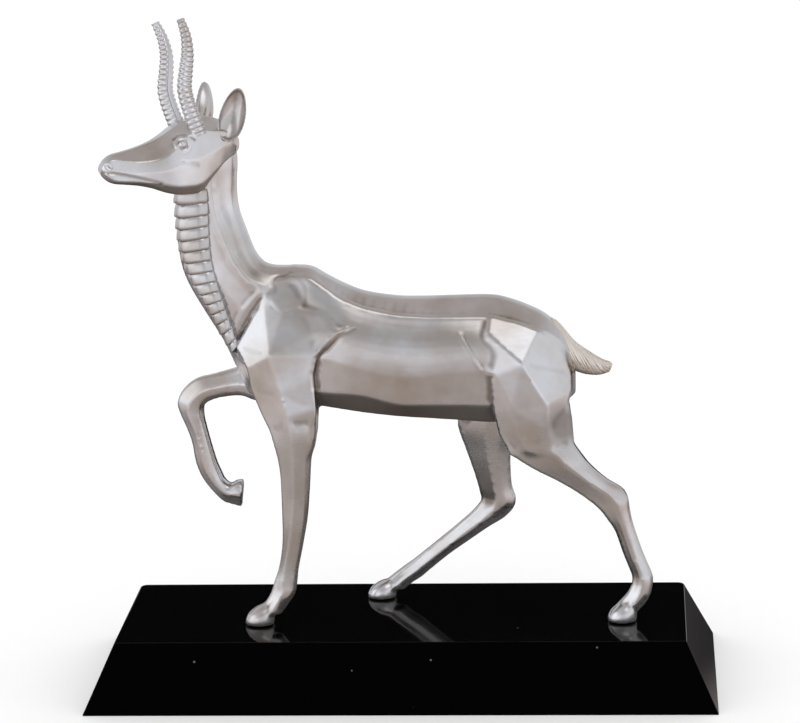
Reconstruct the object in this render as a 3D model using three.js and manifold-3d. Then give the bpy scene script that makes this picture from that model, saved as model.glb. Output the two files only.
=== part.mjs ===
// Antelope figure in silvered bronze on a bevelled black marble plinth.
// Units are millimetres. +Z is up, the animal looks towards -X, and its left side faces -Y.
// The origin is the middle of the plinth's underside.

import * as THREE from 'three';
import { ConvexGeometry } from 'three/addons/geometries/ConvexGeometry.js';
import { mergeVertices } from 'three/addons/utils/BufferGeometryUtils.js';
import Module from 'manifold-3d';

const wasm = await Module();
wasm.setup();

// Driving dimensions of the plinth
const plinthHeight = 38;
const endSlopeRun = 17.7;
const sideSlopeRun = 16.5;

// Clear marble left around the hooves on the plinth's top
const frontMargin = 70.5;
const rearMargin = 18.6;
const nearMargin = 24.8;
const farMargin = 18;

// Height of the figure from its soles to the tips of its horns, and the hairline under its hooves
const figureHeight = 350;
const soleGap = 0.3;

// The figure's own shape is drawn at this height, and every length in it is a share of it
const drawnHeight = 350;
const share = figureHeight / drawnHeight;

// Outermost edges of the three standing hooves, in the drawing
const stance = { front: -91.8, rear: 143.7, near: -32.2, far: 32 };

// Counts that set how finely the round forms are faceted
const tailSides = 10;
const hornSides = 8;
const hornRings = 23;
const throatRings = 15;

const degrees = Math.PI / 180;

// Turns a closed geometry into a solid that can be joined and cut
function solidOf(geometry) {
  const bare = geometry.clone();
  bare.deleteAttribute('normal');
  bare.deleteAttribute('uv');
  const merged = mergeVertices(bare, 1e-4);
  return new wasm.Manifold(new wasm.Mesh({
    numProp: 3,
    vertProperties: Float32Array.from(merged.attributes.position.array),
    triVerts: Uint32Array.from(merged.index.array),
  }));
}

// Turns a solid back into a geometry with flat facets
function geometryOf(solid) {
  const mesh = solid.getMesh();
  const geometry = new THREE.BufferGeometry();
  geometry.setAttribute('position', new THREE.BufferAttribute(Float32Array.from(mesh.vertProperties), 3));
  geometry.setIndex(new THREE.BufferAttribute(Uint32Array.from(mesh.triVerts), 1));
  geometry.computeVertexNormals();
  return geometry;
}

// Closed skin over a row of rings that all have the same number of points
function skin(rings) {
  const sides = rings[0].length;
  const points = rings.flat();
  const faces = [];
  for (let r = 0; r + 1 < rings.length; r++) {
    for (let i = 0; i < sides; i++) {
      const j = (i + 1) % sides;
      const a = r * sides + i;
      const b = r * sides + j;
      faces.push([a, b, b + sides], [a, b + sides, a + sides]);
    }
  }
  for (const [start, flip] of [[0, true], [(rings.length - 1) * sides, false]]) {
    const middle = points.slice(start, start + sides)
      .reduce((sum, p) => sum.add(p), new THREE.Vector3()).divideScalar(sides);
    points.push(middle);
    for (let i = 0; i < sides; i++) {
      const edge = [start + i, start + (i + 1) % sides];
      faces.push([...(flip ? edge.reverse() : edge), points.length - 1]);
    }
  }
  const volume = faces.reduce((sum, [a, b, c]) =>
    sum + points[a].dot(new THREE.Vector3().crossVectors(points[b], points[c])), 0);
  const geometry = new THREE.BufferGeometry();
  geometry.setAttribute('position', new THREE.Float32BufferAttribute(points.flatMap((p) => p.toArray()), 3));
  geometry.setIndex(faces.flatMap(([a, b, c]) => (volume > 0 ? [a, b, c] : [a, c, b])));
  return solidOf(geometry);
}

// Convex mass through a handful of points [x, y, z]
function mass(points) {
  return solidOf(new ConvexGeometry(points.map((p) => new THREE.Vector3(...p))));
}

// Rows of numbers with smooth rows worked out between them
function smoothRows(rows, steps) {
  const out = [];
  for (let i = 0; i + 1 < rows.length; i++) {
    const [p, a, b, n] = [rows[Math.max(i - 1, 0)], rows[i], rows[i + 1], rows[Math.min(i + 2, rows.length - 1)]];
    for (let s = 0; s < steps; s++) {
      const t = s / steps;
      out.push(a.map((_, k) => {
        const bend = 2 * p[k] - 5 * a[k] + 4 * b[k] - n[k];
        const twist = 3 * a[k] - p[k] - 3 * b[k] + n[k];
        return a[k] + 0.5 * t * (b[k] - p[k] + t * (bend + t * twist));
      }));
    }
  }
  out.push(rows[rows.length - 1]);
  return out;
}

// Ring round a middle point, with two half axes, squarer as squareness falls below 1
function ovalRing(middle, halfA, halfB, sides, squareness) {
  const bulge = (v) => Math.sign(v) * Math.abs(v) ** squareness;
  return Array.from({ length: sides }, (_, i) => {
    const angle = 2 * Math.PI * (i + 0.5) / sides;
    return middle.clone()
      .addScaledVector(halfA, bulge(Math.cos(angle)))
      .addScaledVector(halfB, bulge(Math.sin(angle)));
  });
}

// Tail. Each row holds the front edge x, z, the back edge x, z, the side position y and the half
// width.
function roundLimb(rows, { sides = tailSides, steps = 1, squareness = 0.8 } = {}) {
  return skin(smoothRows(rows, steps).map(([fx, fz, bx, bz, y, half]) => {
    const reach = 1 / Math.cos(Math.PI / sides) ** squareness;
    const middle = new THREE.Vector3((fx + bx) / 2, y, (fz + bz) / 2);
    const halfA = new THREE.Vector3((fx - bx) / 2, 0, (fz - bz) / 2).multiplyScalar(reach);
    return ovalRing(middle, halfA, new THREE.Vector3(0, half, 0), sides, squareness);
  }));
}

// Leg or neck with flat facets that meet in a ridge on each side. Each row holds the front edge
// x, z, the back edge x, z, the side position y, the half width, and how far back the ridge lies
// as a share of the depth. The section's other corners are pairs of depth and width shares.
function facetLimb(rows, { before = [[0, 0.36]], after = [[0.83, 0.82], [1, 0.4]], steps = 1 } = {}) {
  return skin(smoothRows(rows, steps).map(([fx, fz, bx, bz, y, half, ridge]) => {
    const corners = [...before, [ridge, 1], ...after];
    const place = ([depth, width]) =>
      new THREE.Vector3(fx + (bx - fx) * depth, y + half * width, fz + (bz - fz) * depth);
    return [...corners.map(place), ...corners.map(([depth, width]) => place([depth, -width])).reverse()];
  }));
}

// Hoof as a dome that flares to a flat sole. Each ring holds the share of the height, the share of
// the sole's size and how far it has moved back as a share of the length.
const hoofRings = [[0, 0.96, 0], [0.22, 1, 0.01], [0.55, 0.9, 0.07], [0.82, 0.66, 0.17], [1, 0.36, 0.26]];
const hoofSides = 12;

function hoof([x, y], length, width, height) {
  return skin(hoofRings.map(([rise, size, back]) => ovalRing(
    new THREE.Vector3(x + back * length, y, rise * height),
    new THREE.Vector3(size * length / 2, 0, 0), new THREE.Vector3(0, size * width / 2, 0),
    hoofSides, 0.9)));
}

// The same points on both sides of the animal's middle plane
const bothSides = (points) => points.flatMap(([x, y, z]) => [[x, y, z], [x, -y, z]]);

// Barrel of the body. Each row holds x, then the heights of the back, the flank's upper edge, its
// lower edge, the belly's edge and the belly, then the half widths at the three edges and the
// bulge of the flank between the first two.
const barrelRows = [
  [-76, 203, 194, 158, 140, 130, 11, 12, 9, 1],
  [-62, 205.5, 200.4, 160, 137, 127, 11, 20, 15, 3],
  [-49, 205.5, 201.6, 158.5, 136, 124.5, 12.5, 24, 17, 3.5],
  [-40, 200.6, 196.6, 156.4, 135.6, 122.8, 14.5, 24, 17, 3.5],
  [-30, 195.4, 189.6, 153.4, 135.2, 121, 16, 24, 17, 3.3],
  [-18, 190.6, 184, 149.4, 134, 119, 16.5, 24, 17, 3],
  [0, 187.7, 180, 145.6, 129, 117, 17, 24.3, 17, 3],
  [16, 187.3, 178.6, 145.6, 128.5, 115.8, 17, 24.3, 17, 3],
  [32, 187.6, 178.4, 147.6, 128.4, 114.6, 17, 24.3, 17, 3],
  [53, 187.8, 178, 147.6, 127.5, 113, 16, 24, 16.5, 3],
  [64, 185.6, 175.8, 146.6, 127.6, 114.5, 15.5, 22.5, 15.5, 2.5],
  [75, 181.3, 173, 146, 128, 117, 15, 20, 14, 2],
  [86, 175, 169, 145, 130, 122, 13.5, 16, 12, 1.5],
  [96, 163, 160, 144, 132, 126, 9, 10.5, 8, 0.5],
  [101, 146, 145, 140, 134, 130, 4, 5, 4, 0.2],
];

const spineHalf = 4.5;

function barrel() {
  const flankSteps = 4;
  return skin(barrelRows.map(([x, back, z1, z3, z4, belly, w1, w3, w4, bulge]) => {
    const half = [[Math.min(spineHalf, w1 * 0.6), back - (back - z1) * 0.09], [w1, z1]];
    for (let i = 1; i < flankSteps; i++) {
      const t = i / flankSteps;
      half.push([w1 + (w3 - w1) * t + bulge * Math.sin(Math.PI * t), z1 + (z3 - z1) * t]);
    }
    half.push([w3, z3], [w4, z4], [Math.min(spineHalf, w4 * 0.6), belly + (z4 - belly) * 0.06]);
    const right = half.map(([w, z]) => new THREE.Vector3(x, w, z));
    const left = half.map(([w, z]) => new THREE.Vector3(x, -w, z)).reverse();
    return [new THREE.Vector3(x, 0, back), ...right, new THREE.Vector3(x, 0, belly), ...left];
  }));
}

// The same points on the far side
const mirrored = (points) => points.map(([x, y, z]) => [x, -y, z]);

// Breast between the two shoulders, with a keel down its middle
const breastKeel = [
  [-99, 0, 161], [-94.4, 0, 151.8], [-91.7, 0, 145], [-86.6, 0, 131], [-72, 0, 198], [-60, 0, 127],
];
const breastSide = [
  [-85, 20, 151], [-88, 14, 165.6], [-76, 13, 187], [-64, 16, 180], [-82, 14, 134], [-64, 15, 133],
];

// Shoulder blade and upper arm as flat planes over the barrel
const bladePoints = [
  [-74.9, 15.6, 189], [-63, 19, 182.8], [-53.6, 19.6, 185.1], [-40.5, 21.4, 181.9],
  [-29.3, 22, 175.7], [-23.6, 21.6, 175.3], [-32.1, 24.3, 171.5], [-43.8, 25.6, 159.6],
  [-71.5, 26, 159.4], [-84.8, 22, 151.6], [-91.5, 14.6, 161.6],
  [-62, 2, 196], [-30, 2, 178], [-45, 2, 150], [-84, 2, 160],
];
const armPoints = [
  [-71.5, 26, 159.4], [-43.8, 25.6, 159.6], [-84.8, 22, 151.6], [-82.9, 17.6, 138.2],
  [-77.6, 17, 125], [-73.5, 17.4, 115.7], [-65, 26.4, 137.2], [-61.6, 27, 122.5],
  [-60, 27.1, 104], [-47.2, 23.4, 147.8], [-45.4, 23, 128], [-48.6, 23, 108],
  [-60, 8, 140], [-62, 12, 111],
];

// Round plate of the shoulder joint, let into the blade's upper corner
const plateMiddle = [-60.6, 17.4, 192.6];
const plateRadius = 10.6;
const plateLean = [0.1, 1, 0.3];
const plateProud = 0.5;

function shoulderPlate(side) {
  const normal = new THREE.Vector3(...plateLean).normalize();
  const aside = new THREE.Vector3().crossVectors(upright, normal).normalize();
  const up = new THREE.Vector3().crossVectors(normal, aside);
  const rings = [-5, plateProud - 0.4, plateProud].map((out, i) => ovalRing(
    new THREE.Vector3(...plateMiddle).addScaledVector(normal, out),
    aside.clone().multiplyScalar(plateRadius - (i > 1 ? 1 : 0)),
    up.clone().multiplyScalar(plateRadius - (i > 1 ? 1 : 0)), 16, 1));
  return skin(rings.map((ring) => ring.map((p) => new THREE.Vector3(p.x, side * p.y, p.z))));
}

const farArmPoints = [
  [-71.5, 25, 159.4], [-43.8, 25, 159.6], [-84.8, 20.6, 152], [-90.5, 10, 144], [-90, 10, 128],
  [-72, 21, 128], [-52, 20, 140], [-60, 2, 140], [-66, 19, 168], [-50, 19, 166],
];

function forequarters() {
  return [
    mass([...breastKeel, ...bothSides(breastSide)]),
    mass(mirrored(bladePoints)), mass(bladePoints), mass(mirrored(armPoints)), mass(farArmPoints),
  ];
}

// Haunch as flat planes that meet in a point on the outside of the hip
const haunchPoints = [
  [53.5, 16.6, 179], [83, 15, 169.6], [51.8, 21.8, 170.4], [37.1, 22.1, 168.9], [44, 24.6, 157.4],
  [49.6, 25, 149.7], [72.3, 27.5, 153.1], [55.2, 25.2, 146.1], [81.3, 18.6, 169.4],
  [85.8, 25, 130], [93.9, 13, 158], [98.7, 12, 142.5], [98.6, 13.6, 133.1], [97.4, 14.4, 127.8],
  [88.6, 22.6, 127.7], [54, 0, 186], [84, 0, 176], [100, 0, 146], [94, 0, 126], [56, 2, 126],
];
const thighPoints = [
  [55.2, 25.2, 146.1], [72.3, 27.5, 153.1], [85.8, 25, 130], [88.6, 22.6, 127.7],
  [97.4, 14.4, 127.8], [54.6, 18, 124.6], [59.6, 16, 102.8], [64.6, 26.4, 126], [74.1, 25.6, 105],
  [86.3, 24.6, 118], [88.2, 24, 102.5], [99.2, 12, 117.3], [99.6, 12, 104.3], [66, 15, 96],
  [96, 6, 128], [60, 5, 125], [100, 8, 102],
];

const farThighPoints = [
  [44, 23, 150], [73.5, 26, 152], [84, 24, 128], [94, 14, 129], [34, 14, 117], [33.6, 13, 106],
  [47, 27, 108], [64, 15, 104], [40, 5, 125], [88, 4, 124],
];

function hindquarters() {
  return [
    mass(mirrored(haunchPoints)), mass(haunchPoints), mass(mirrored(thighPoints)), mass(farThighPoints),
  ];
}

// Neck from the shoulders to the poll. The ridge on its side runs from behind the ear down to the
// withers.
const neckRows = [
  [-88, 140, -46, 196, 0, 13.5, 0.84],
  [-94.4, 152.4, -54, 205.3, 0, 15, 0.84],
  [-99.6, 164, -62, 205.8, 0, 16, 0.84],
  [-105.6, 174.6, -69, 206, 0, 16, 0.82],
  [-111.6, 185, -74.6, 208, 0, 15.2, 0.79],
  [-117.2, 195.4, -78.8, 213, 0, 14.2, 0.76],
  [-121, 205.4, -81.6, 219.4, 0, 13.4, 0.74],
  [-122.8, 216, -84.5, 228, 0, 12.8, 0.71],
  [-123.6, 227, -87.6, 238, 0, 12.5, 0.68],
  [-123.6, 240, -88.7, 248, 0, 12.5, 0.65],
  [-123, 252, -88.4, 258, 0, 12.6, 0.62],
  [-118, 266, -87.8, 267, 0, 12.8, 0.6],
  [-112, 278, -88.4, 277, 0, 12.4, 0.6],
  [-110, 285, -92, 285, 0, 10, 0.55],
  [-107, 289, -97.6, 289, 0, 6, 0.5],
];
const neckSection = {
  before: [[0, 0.3], [0.12, 0.62], [0.4, 0.94]], after: [[0.94, 0.56], [1, 0.22]], steps: 2,
};

// Overlapping throat scales. Each place down the throat holds the front edge x, z, the line where
// the scales end on the side x, z, and the half width there.
const throatLine = [
  [-123.4, 252, -105.6, 253, 12.9],
  [-123.6, 238, -105.6, 240, 12.9],
  [-122.8, 224, -105.8, 227, 13.1],
  [-120.6, 210.6, -105.2, 213, 13.5],
  [-115.6, 196.6, -102.6, 199.6, 14.1],
  [-108.4, 183.6, -99.2, 187, 14.2],
  [-101.4, 170, -95.6, 174, 12.6],
  [-94.6, 157, -91.2, 161, 10.8],
];
const scaleLip = 1.1;
const scaleSides = 12;
const scaleSquareness = 0.6;

function throat() {
  const edges = smoothRows(throatLine, 8);
  const at = (t) => {
    const place = Math.min(t, 1) * (edges.length - 1);
    const low = Math.min(Math.floor(place), edges.length - 2);
    return edges[low].map((v, k) => v + (place - low) * (edges[low + 1][k] - v));
  };
  const ring = (t, out) => {
    const [fx, fz, bx, bz, half] = at(t);
    const along = new THREE.Vector3(fx - bx, 0, fz - bz);
    const stretch = 1 + out / along.length();
    return Array.from({ length: scaleSides + 1 }, (_, k) => {
      const angle = (k / scaleSides - 0.5) * Math.PI;
      const ends = k === 0 || k === scaleSides;
      const reach = ends ? -1.5 / along.length() : Math.cos(angle) ** scaleSquareness * stretch;
      const width = Math.sign(angle) * Math.abs(Math.sin(angle)) ** scaleSquareness;
      return new THREE.Vector3(bx, 0, bz).addScaledVector(along, reach)
        .add(new THREE.Vector3(0, (half + out * 0.6) * width, 0));
    });
  };
  return Array.from({ length: throatRings }, (_, i) => {
    const [start, end] = [i, i + 1].map((n) => (n / throatRings) ** 0.92);
    return skin([ring(start, -0.3), ring(end, scaleLip), ring(end + 0.012, -1)]);
  });
}

// Head in its own frame: forward along the muzzle, then across to the far side, then up
const headTurn = 28 * degrees;
const headTilt = 9 * degrees;
const headPivot = new THREE.Vector3(-100, 0, 265);
const forward = new THREE.Vector3(-Math.cos(headTurn), -Math.sin(headTurn), 0);
const level = new THREE.Vector3(-Math.sin(headTurn), Math.cos(headTurn), 0);
const upright = new THREE.Vector3(0, 0, 1);
const across = level.clone().multiplyScalar(Math.cos(headTilt)).addScaledVector(upright, -Math.sin(headTilt));
const crown = upright.clone().multiplyScalar(Math.cos(headTilt)).addScaledVector(level, Math.sin(headTilt));
const onHead = (s, t, h) => headPivot.clone()
  .addScaledVector(forward, s).addScaledVector(across, t).addScaledVector(crown, h);

// Each row holds the place along the muzzle, the top, the brow line's height and half width,
// the side plane's lower edge and half width, and the underside.
const headRows = [
  [68.6, 6, 4.6, 3.4, 2.8, 3.4, 1.8],
  [66.4, 9, 7, 5.4, 0, 5.6, -1.6],
  [62, 11.6, 8.6, 6.6, -3.4, 6.6, -4.8],
  [55, 12.8, 7, 7.6, -4.6, 7.2, -6.2],
  [47, 14.4, 5.6, 9, -5.6, 8.2, -7.6],
  [38, 17, 6, 11.4, -7.4, 10, -10.2],
  [30, 20.8, 9.4, 14, -9.6, 11.4, -13.4],
  [23, 24.8, 16.6, 15.4, -10.4, 12.6, -15],
  [14, 27.6, 20, 16.4, -9.6, 13.4, -14.8],
  [5, 28.6, 19, 16.4, -3, 13.6, -9],
  [-2, 27, 18, 15, 3, 12, -0.5],
  [-8, 23.6, 16, 13, 6, 10.5, 3],
  [-13, 18, 13.4, 8.6, 9, 7, 7],
];

function head() {
  return skin(smoothRows(headRows, 2).map(([s, top, z1, w1, z2, w2, bottom]) => {
    const swell = 0.06 * w1;
    const half = [[w1 * 0.4, top - 0.5], [w1, z1], [(w1 + w2) / 2 + swell, (z1 + z2) / 2], [w2, z2],
      [w2 * 0.45, bottom + 0.3]];
    const far = half.map(([w, z]) => onHead(s, w, z));
    const near = half.map(([w, z]) => onHead(s, -w, z)).reverse();
    return [onHead(s, 0, top), ...far, onHead(s, 0, bottom), ...near];
  }));
}

// Lyre-shaped horns with a raised ring at every step
const hornLine = [
  [16.2, 12.6, 16], [18.2, 13.6, 30], [19.2, 14, 43], [17.7, 14.3, 53],
  [16, 15.4, 63], [16.6, 17.4, 73], [19.6, 19.2, 82.7],
];
const hornHalf = 4.8;
const hornTaper = 0.5;
const hornGroove = 0.88;

function horn(side, ahead) {
  const path = new THREE.CatmullRomCurve3(hornLine.map(([s, t, h]) => onHead(s + ahead, side * t, h)));
  const rows = 2 * hornRings + 2;
  const rings = [];
  for (let i = 0; i <= rows; i++) {
    const t = i / rows;
    const half = hornHalf * (1 - hornTaper * t ** 2.2) * (i === rows ? 0.5 : 1);
    const groove = i % 2 === 0 ? hornGroove : 1;
    const tangent = path.getTangentAt(t);
    const sideways = new THREE.Vector3().crossVectors(tangent, across).normalize();
    const outward = new THREE.Vector3().crossVectors(sideways, tangent).normalize();
    rings.push(ovalRing(path.getPointAt(t), sideways.multiplyScalar(half * groove),
      outward.multiplyScalar(half * groove * 0.92), hornSides, 0.75));
  }
  return skin(rings);
}

// Leaf-shaped ears, hollowed on the side that faces out and forward
const earRoot = [-3, 15, 12];
const earTip = [-9, 23, 43.5];
const earHalf = 8;
const earRim = 1.4;
const earThick = 4.2;

function ear(side, lift, ahead) {
  const tip = [earTip[0], earTip[1], earTip[2] + lift];
  const leaf = (wide, thick, from, to, sink) => {
    const rings = [];
    const count = 10;
    for (let i = 0; i <= count; i++) {
      const t = from + (to - from) * i / count;
      const place = earRoot.map((v, k) => v + (tip[k] - v) * t);
      const swell = Math.sqrt(Math.max(Math.sin(Math.PI * Math.min(0.12 + 0.88 * t, 1)), 0.002));
      const openTo = new THREE.Vector3().copy(across).multiplyScalar(0.86 * side)
        .addScaledVector(forward, 0.5).normalize();
      const sideways = new THREE.Vector3().crossVectors(crown, openTo).normalize();
      const middle = onHead(place[0] + ahead, side * place[1], place[2]).addScaledVector(openTo, sink);
      rings.push(ovalRing(middle, sideways.multiplyScalar(wide * swell),
        openTo.multiplyScalar(thick * swell), 12, 1));
    }
    return skin(rings);
  };
  return leaf(earHalf, earThick, 0, 1, 0)
    .subtract(leaf(earHalf - earRim, earThick + 0.2, 0.08, 0.95, earThick / 2));
}

const tailRows = [
  [84, 175, 92, 152, 0, 5],
  [91.2, 171.6, 99, 144, 0, 6],
  [100.4, 160, 104.5, 141.4, 0, 5.4],
  [109.7, 153.1, 109, 140.4, 0, 4.4],
  [116.9, 148.5, 115, 140.2, 0, 3.2],
  [122.4, 146.6, 120.5, 142, 0, 1.6],
];

// Standing foreleg on the near side
const nearForeRows = [
  [-79, 140, -48, 143, -16, 9.6, 0.5],
  [-78.6, 130, -45.6, 128, -17, 10, 0.5],
  [-76, 123, -45, 120, -17.6, 9.6, 0.5],
  [-72.4, 112.6, -46.6, 111.5, -18.2, 9, 0.49],
  [-69, 98, -49.8, 97, -19, 8.1, 0.49],
  [-67.6, 85, -50.8, 85, -19.6, 7.3, 0.47],
  [-67.4, 65, -52.8, 64, -20.5, 6.4, 0.43],
  [-67.9, 47, -56.2, 46, -21.4, 5.6, 0.34],
  [-70.2, 33.6, -59.2, 32, -22, 5.2, 0.3],
  [-73.2, 25, -60.2, 24, -22.4, 5.6, 0.36],
  [-75.4, 18.4, -61.2, 18.6, -22.8, 6, 0.44],
  [-79, 12.6, -65, 13, -23.2, 5.8, 0.48],
  [-84, 8, -70, 6, -23.8, 6, 0.5],
];

// Raised foreleg on the far side
const farForeRows = [
  [-82, 147, -70, 121, 14, 10, 0.5],
  [-90, 144, -84, 123.4, 15.2, 8.8, 0.5],
  [-97, 141.8, -93, 126.2, 16, 7.8, 0.5],
  [-108, 138.7, -103.6, 125.2, 16.6, 7, 0.5],
  [-118.8, 135.8, -110.6, 123.2, 17, 6.6, 0.5],
  [-127, 129, -114.4, 120.6, 17.2, 6.6, 0.5],
  [-130.4, 121.4, -115.4, 117, 17.2, 6.2, 0.45],
  [-128.9, 114.4, -115, 111.9, 17, 5.6, 0.45],
  [-125.8, 106.6, -113.8, 106, 17, 5, 0.45],
  [-123, 97.5, -111.9, 97.5, 17, 4.8, 0.45],
  [-121.3, 86, -108.9, 86, 17, 5.2, 0.45],
  [-118.6, 78, -106.6, 80, 17, 5.4, 0.45],
  [-114.4, 71, -104.4, 75, 17, 5.4, 0.5],
  [-107, 62.6, -101.2, 72.4, 17, 5.6, 0.5],
  [-101.4, 60.2, -98, 74, 17, 6.2, 0.5],
  [-95.4, 58.6, -94, 74.4, 17, 6.4, 0.5],
];

const nearHindRows = [
  [62, 126, 93, 125, -15, 9.4, 0.66],
  [60, 112, 97, 114, -15.4, 10, 0.66],
  [62.4, 100.6, 100, 104, -15.8, 9.6, 0.65],
  [68.6, 95.2, 102.9, 99.6, -16, 9, 0.65],
  [78, 89.2, 107, 94, -16.4, 8, 0.64],
  [88, 84, 112.5, 88.2, -16.7, 7.2, 0.64],
  [99, 77.5, 119, 82.8, -17, 6.4, 0.62],
  [108, 71, 126.4, 78.2, -17.2, 6, 0.6],
  [114, 65.6, 130, 73, -17.4, 6, 0.58],
  [118.5, 59.5, 131.2, 65, -17.6, 5.6, 0.54],
  [122.8, 52.4, 133, 56.4, -17.9, 5, 0.5],
  [126.8, 40.3, 136.7, 44.6, -18.3, 4.8, 0.5],
  [130, 32, 140.2, 35, -18.8, 5, 0.5],
  [132.2, 25, 143.8, 25.4, -19.2, 5.6, 0.5],
  [130.6, 18.4, 142.8, 17, -19.6, 5.7, 0.5],
  [126.4, 12.8, 139.6, 11, -20, 5.6, 0.5],
  [122, 8, 135, 6, -20.4, 5.8, 0.5],
];

const farHindRows = [
  [36, 120, 66, 120, 15, 9.4, 0.5],
  [32.3, 108.1, 66, 105, 17, 9.8, 0.5],
  [36.6, 92.1, 62.6, 91, 19, 8.2, 0.5],
  [41.1, 77.2, 62, 78, 20.4, 7, 0.5],
  [43.8, 66, 62.6, 68.4, 21.4, 6.4, 0.5],
  [44.4, 59.6, 64.6, 58.6, 22, 6.2, 0.5],
  [39.6, 53.4, 59, 50.6, 22.3, 5.7, 0.5],
  [33.2, 47.5, 46.8, 42.4, 22.6, 5, 0.5],
  [18.6, 35.1, 27.6, 28.8, 23.2, 4.6, 0.5],
  [5.4, 24.3, 15, 18.6, 23.8, 4.8, 0.5],
  [-2.6, 18.2, 8.4, 13, 24.2, 5.2, 0.5],
  [-8.6, 13.6, 2.4, 9, 24.4, 5.4, 0.5],
  [-15, 8.4, -2.6, 4.6, 24.4, 5.8, 0.5],
];
const farHindSection = { after: [[0.72, 0.9], [1, 0.5]] };

// Hooves on the marble: the middle of the sole x, y, then the length, the width and the height
const hooves = [
  [[-82.4, -24], 17, 15, 11.6], [[126, -20.8], 17, 15, 11.4], [[-15.4, 24.4], 17, 14.6, 10.6],
];

// The whole casting, joined and brought to its real size and place over the marble
function antelopeSolid() {
  const pieces = [
    barrel(), ...forequarters(), ...hindquarters(),
    shoulderPlate(-1), facetLimb(neckRows, neckSection), ...throat(),
    head(), horn(-1, 0), horn(1, 1.6), ear(-1, -1.5, 0), ear(1, 1.5, 1.8),
    roundLimb(tailRows, { steps: 2 }),
    facetLimb(nearForeRows), facetLimb(farForeRows), facetLimb(nearHindRows),
    facetLimb(farHindRows, farHindSection),
    ...hooves.map((sizes) => hoof(...sizes)),
  ];
  return pieces.reduce((whole, piece) => whole.add(piece));
}

const topLength = (stance.rear - stance.front) * share + frontMargin + rearMargin;
const topWidth = (stance.far - stance.near) * share + nearMargin + farMargin;

// Round a far upper corner of the plinth is worn to
const farCornerRound = 4;

function plinthGeometry() {
  const corners = (length, width, z) => [[1, 1], [-1, 1], [-1, -1], [1, -1]]
    .map(([i, j]) => [i * length / 2, j * width / 2, z]);
  const farArcs = [1, -1].flatMap((i) => [0, 1, 2, 3].map((step) => {
    const angle = step / 3 * Math.PI / 2;
    return [i * (topLength / 2 - farCornerRound * (1 - Math.cos(angle))),
      topWidth / 2 - farCornerRound * (1 - Math.sin(angle)), plinthHeight];
  }));
  return geometryOf(mass([
    ...corners(topLength + 2 * endSlopeRun, topWidth + 2 * sideSlopeRun, 0),
    ...corners(topLength, topWidth, plinthHeight).filter(([, y]) => y < 0), ...farArcs,
  ]));
}

const figureX = frontMargin - topLength / 2 - stance.front * share;
const figureY = nearMargin - topWidth / 2 - stance.near * share;

const silveredBronze = new THREE.MeshStandardMaterial({ color: 0xc4bfba, metalness: 1, roughness: 0.3 });
const blackMarble = new THREE.MeshStandardMaterial({ color: 0x060606, metalness: 0, roughness: 0.06 });

const antelopeGeometry = geometryOf(antelopeSolid().scale(share));
const antelope = new THREE.Mesh(antelopeGeometry, silveredBronze);
antelope.name = 'antelope';
antelope.position.set(figureX, figureY, plinthHeight + soleGap);

const plinth = new THREE.Mesh(plinthGeometry(), blackMarble);
plinth.name = 'plinth';

const sculpture = new THREE.Group();
sculpture.add(antelope, plinth);

export default sculpture;
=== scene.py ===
# %% [markdown]
# # A bronze antelope on a black marble plinth
# The figure is one casting in silvered bronze, about 350 mm tall, with flat facets that meet in
# soft ridges. It stands on a bevelled block of polished black marble. The frame comes first: it
# holds the two solids at their real size, and everything below is built around it in metres.

# %% Load the frame
import math

import bmesh
import bpy
import numpy as np
from mathutils import Matrix, Vector
from mathutils.geometry import delaunay_2d_cdt


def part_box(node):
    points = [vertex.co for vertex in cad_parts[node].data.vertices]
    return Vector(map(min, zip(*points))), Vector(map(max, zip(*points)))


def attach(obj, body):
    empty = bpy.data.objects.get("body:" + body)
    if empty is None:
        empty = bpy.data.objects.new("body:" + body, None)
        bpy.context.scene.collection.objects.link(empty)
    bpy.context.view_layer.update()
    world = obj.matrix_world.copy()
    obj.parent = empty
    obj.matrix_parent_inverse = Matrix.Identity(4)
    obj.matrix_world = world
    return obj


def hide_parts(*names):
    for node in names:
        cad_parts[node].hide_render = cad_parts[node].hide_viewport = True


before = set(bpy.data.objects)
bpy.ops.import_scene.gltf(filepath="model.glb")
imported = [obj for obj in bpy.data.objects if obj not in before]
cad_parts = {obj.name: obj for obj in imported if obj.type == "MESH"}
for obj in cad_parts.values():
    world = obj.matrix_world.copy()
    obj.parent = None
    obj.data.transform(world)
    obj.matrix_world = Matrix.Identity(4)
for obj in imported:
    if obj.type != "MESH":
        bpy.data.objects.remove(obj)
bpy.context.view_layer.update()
figure_low, figure_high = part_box("antelope")
plinth_low, plinth_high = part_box("plinth")

# %% [markdown]
# ## One drawing, in millimetres
# The figure is drawn in millimetres with its soles at height 0 and its middle plane at 0 across.
# Two numbers bring the drawing into the frame: the height of the soles, which the frame gives,
# and how far the middle plane stands from the middle of the plinth.

# %% From the drawing to the frame
MM = 0.001
MIDDLE_PLANE = 3.5
SOLES = figure_low.z


def placed(points):
    """Points of the drawing, in metres in the frame."""
    return np.asarray(points, float) * MM + (0, MIDDLE_PLANE * MM, SOLES)


print("soles at", round(SOLES / MM, 2), "mm")

# %% [markdown]
# ## Helpers for objects and nodes
# Every object here stays at the origin, with its place in its mesh. Materials and Geometry Nodes
# are both trees of nodes. One helper makes a node, sets its options and feeds its inputs, each from
# another node's socket or with a plain value. The others are short names for nodes that come up
# often: sums, ranges, blends of colour and noise.

# %% Object helpers
def add_object(name, data):
    """An object that shows this mesh or camera, at the origin."""
    made = bpy.data.objects.new(name, data)
    bpy.context.scene.collection.objects.link(made)
    return made


def add_mesh(name, points, edges, faces):
    """A mesh object from its points and its loose edges or its faces."""
    mesh = bpy.data.meshes.new(name)
    mesh.from_pydata(points, edges, faces)
    return add_object(name, mesh)


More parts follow.
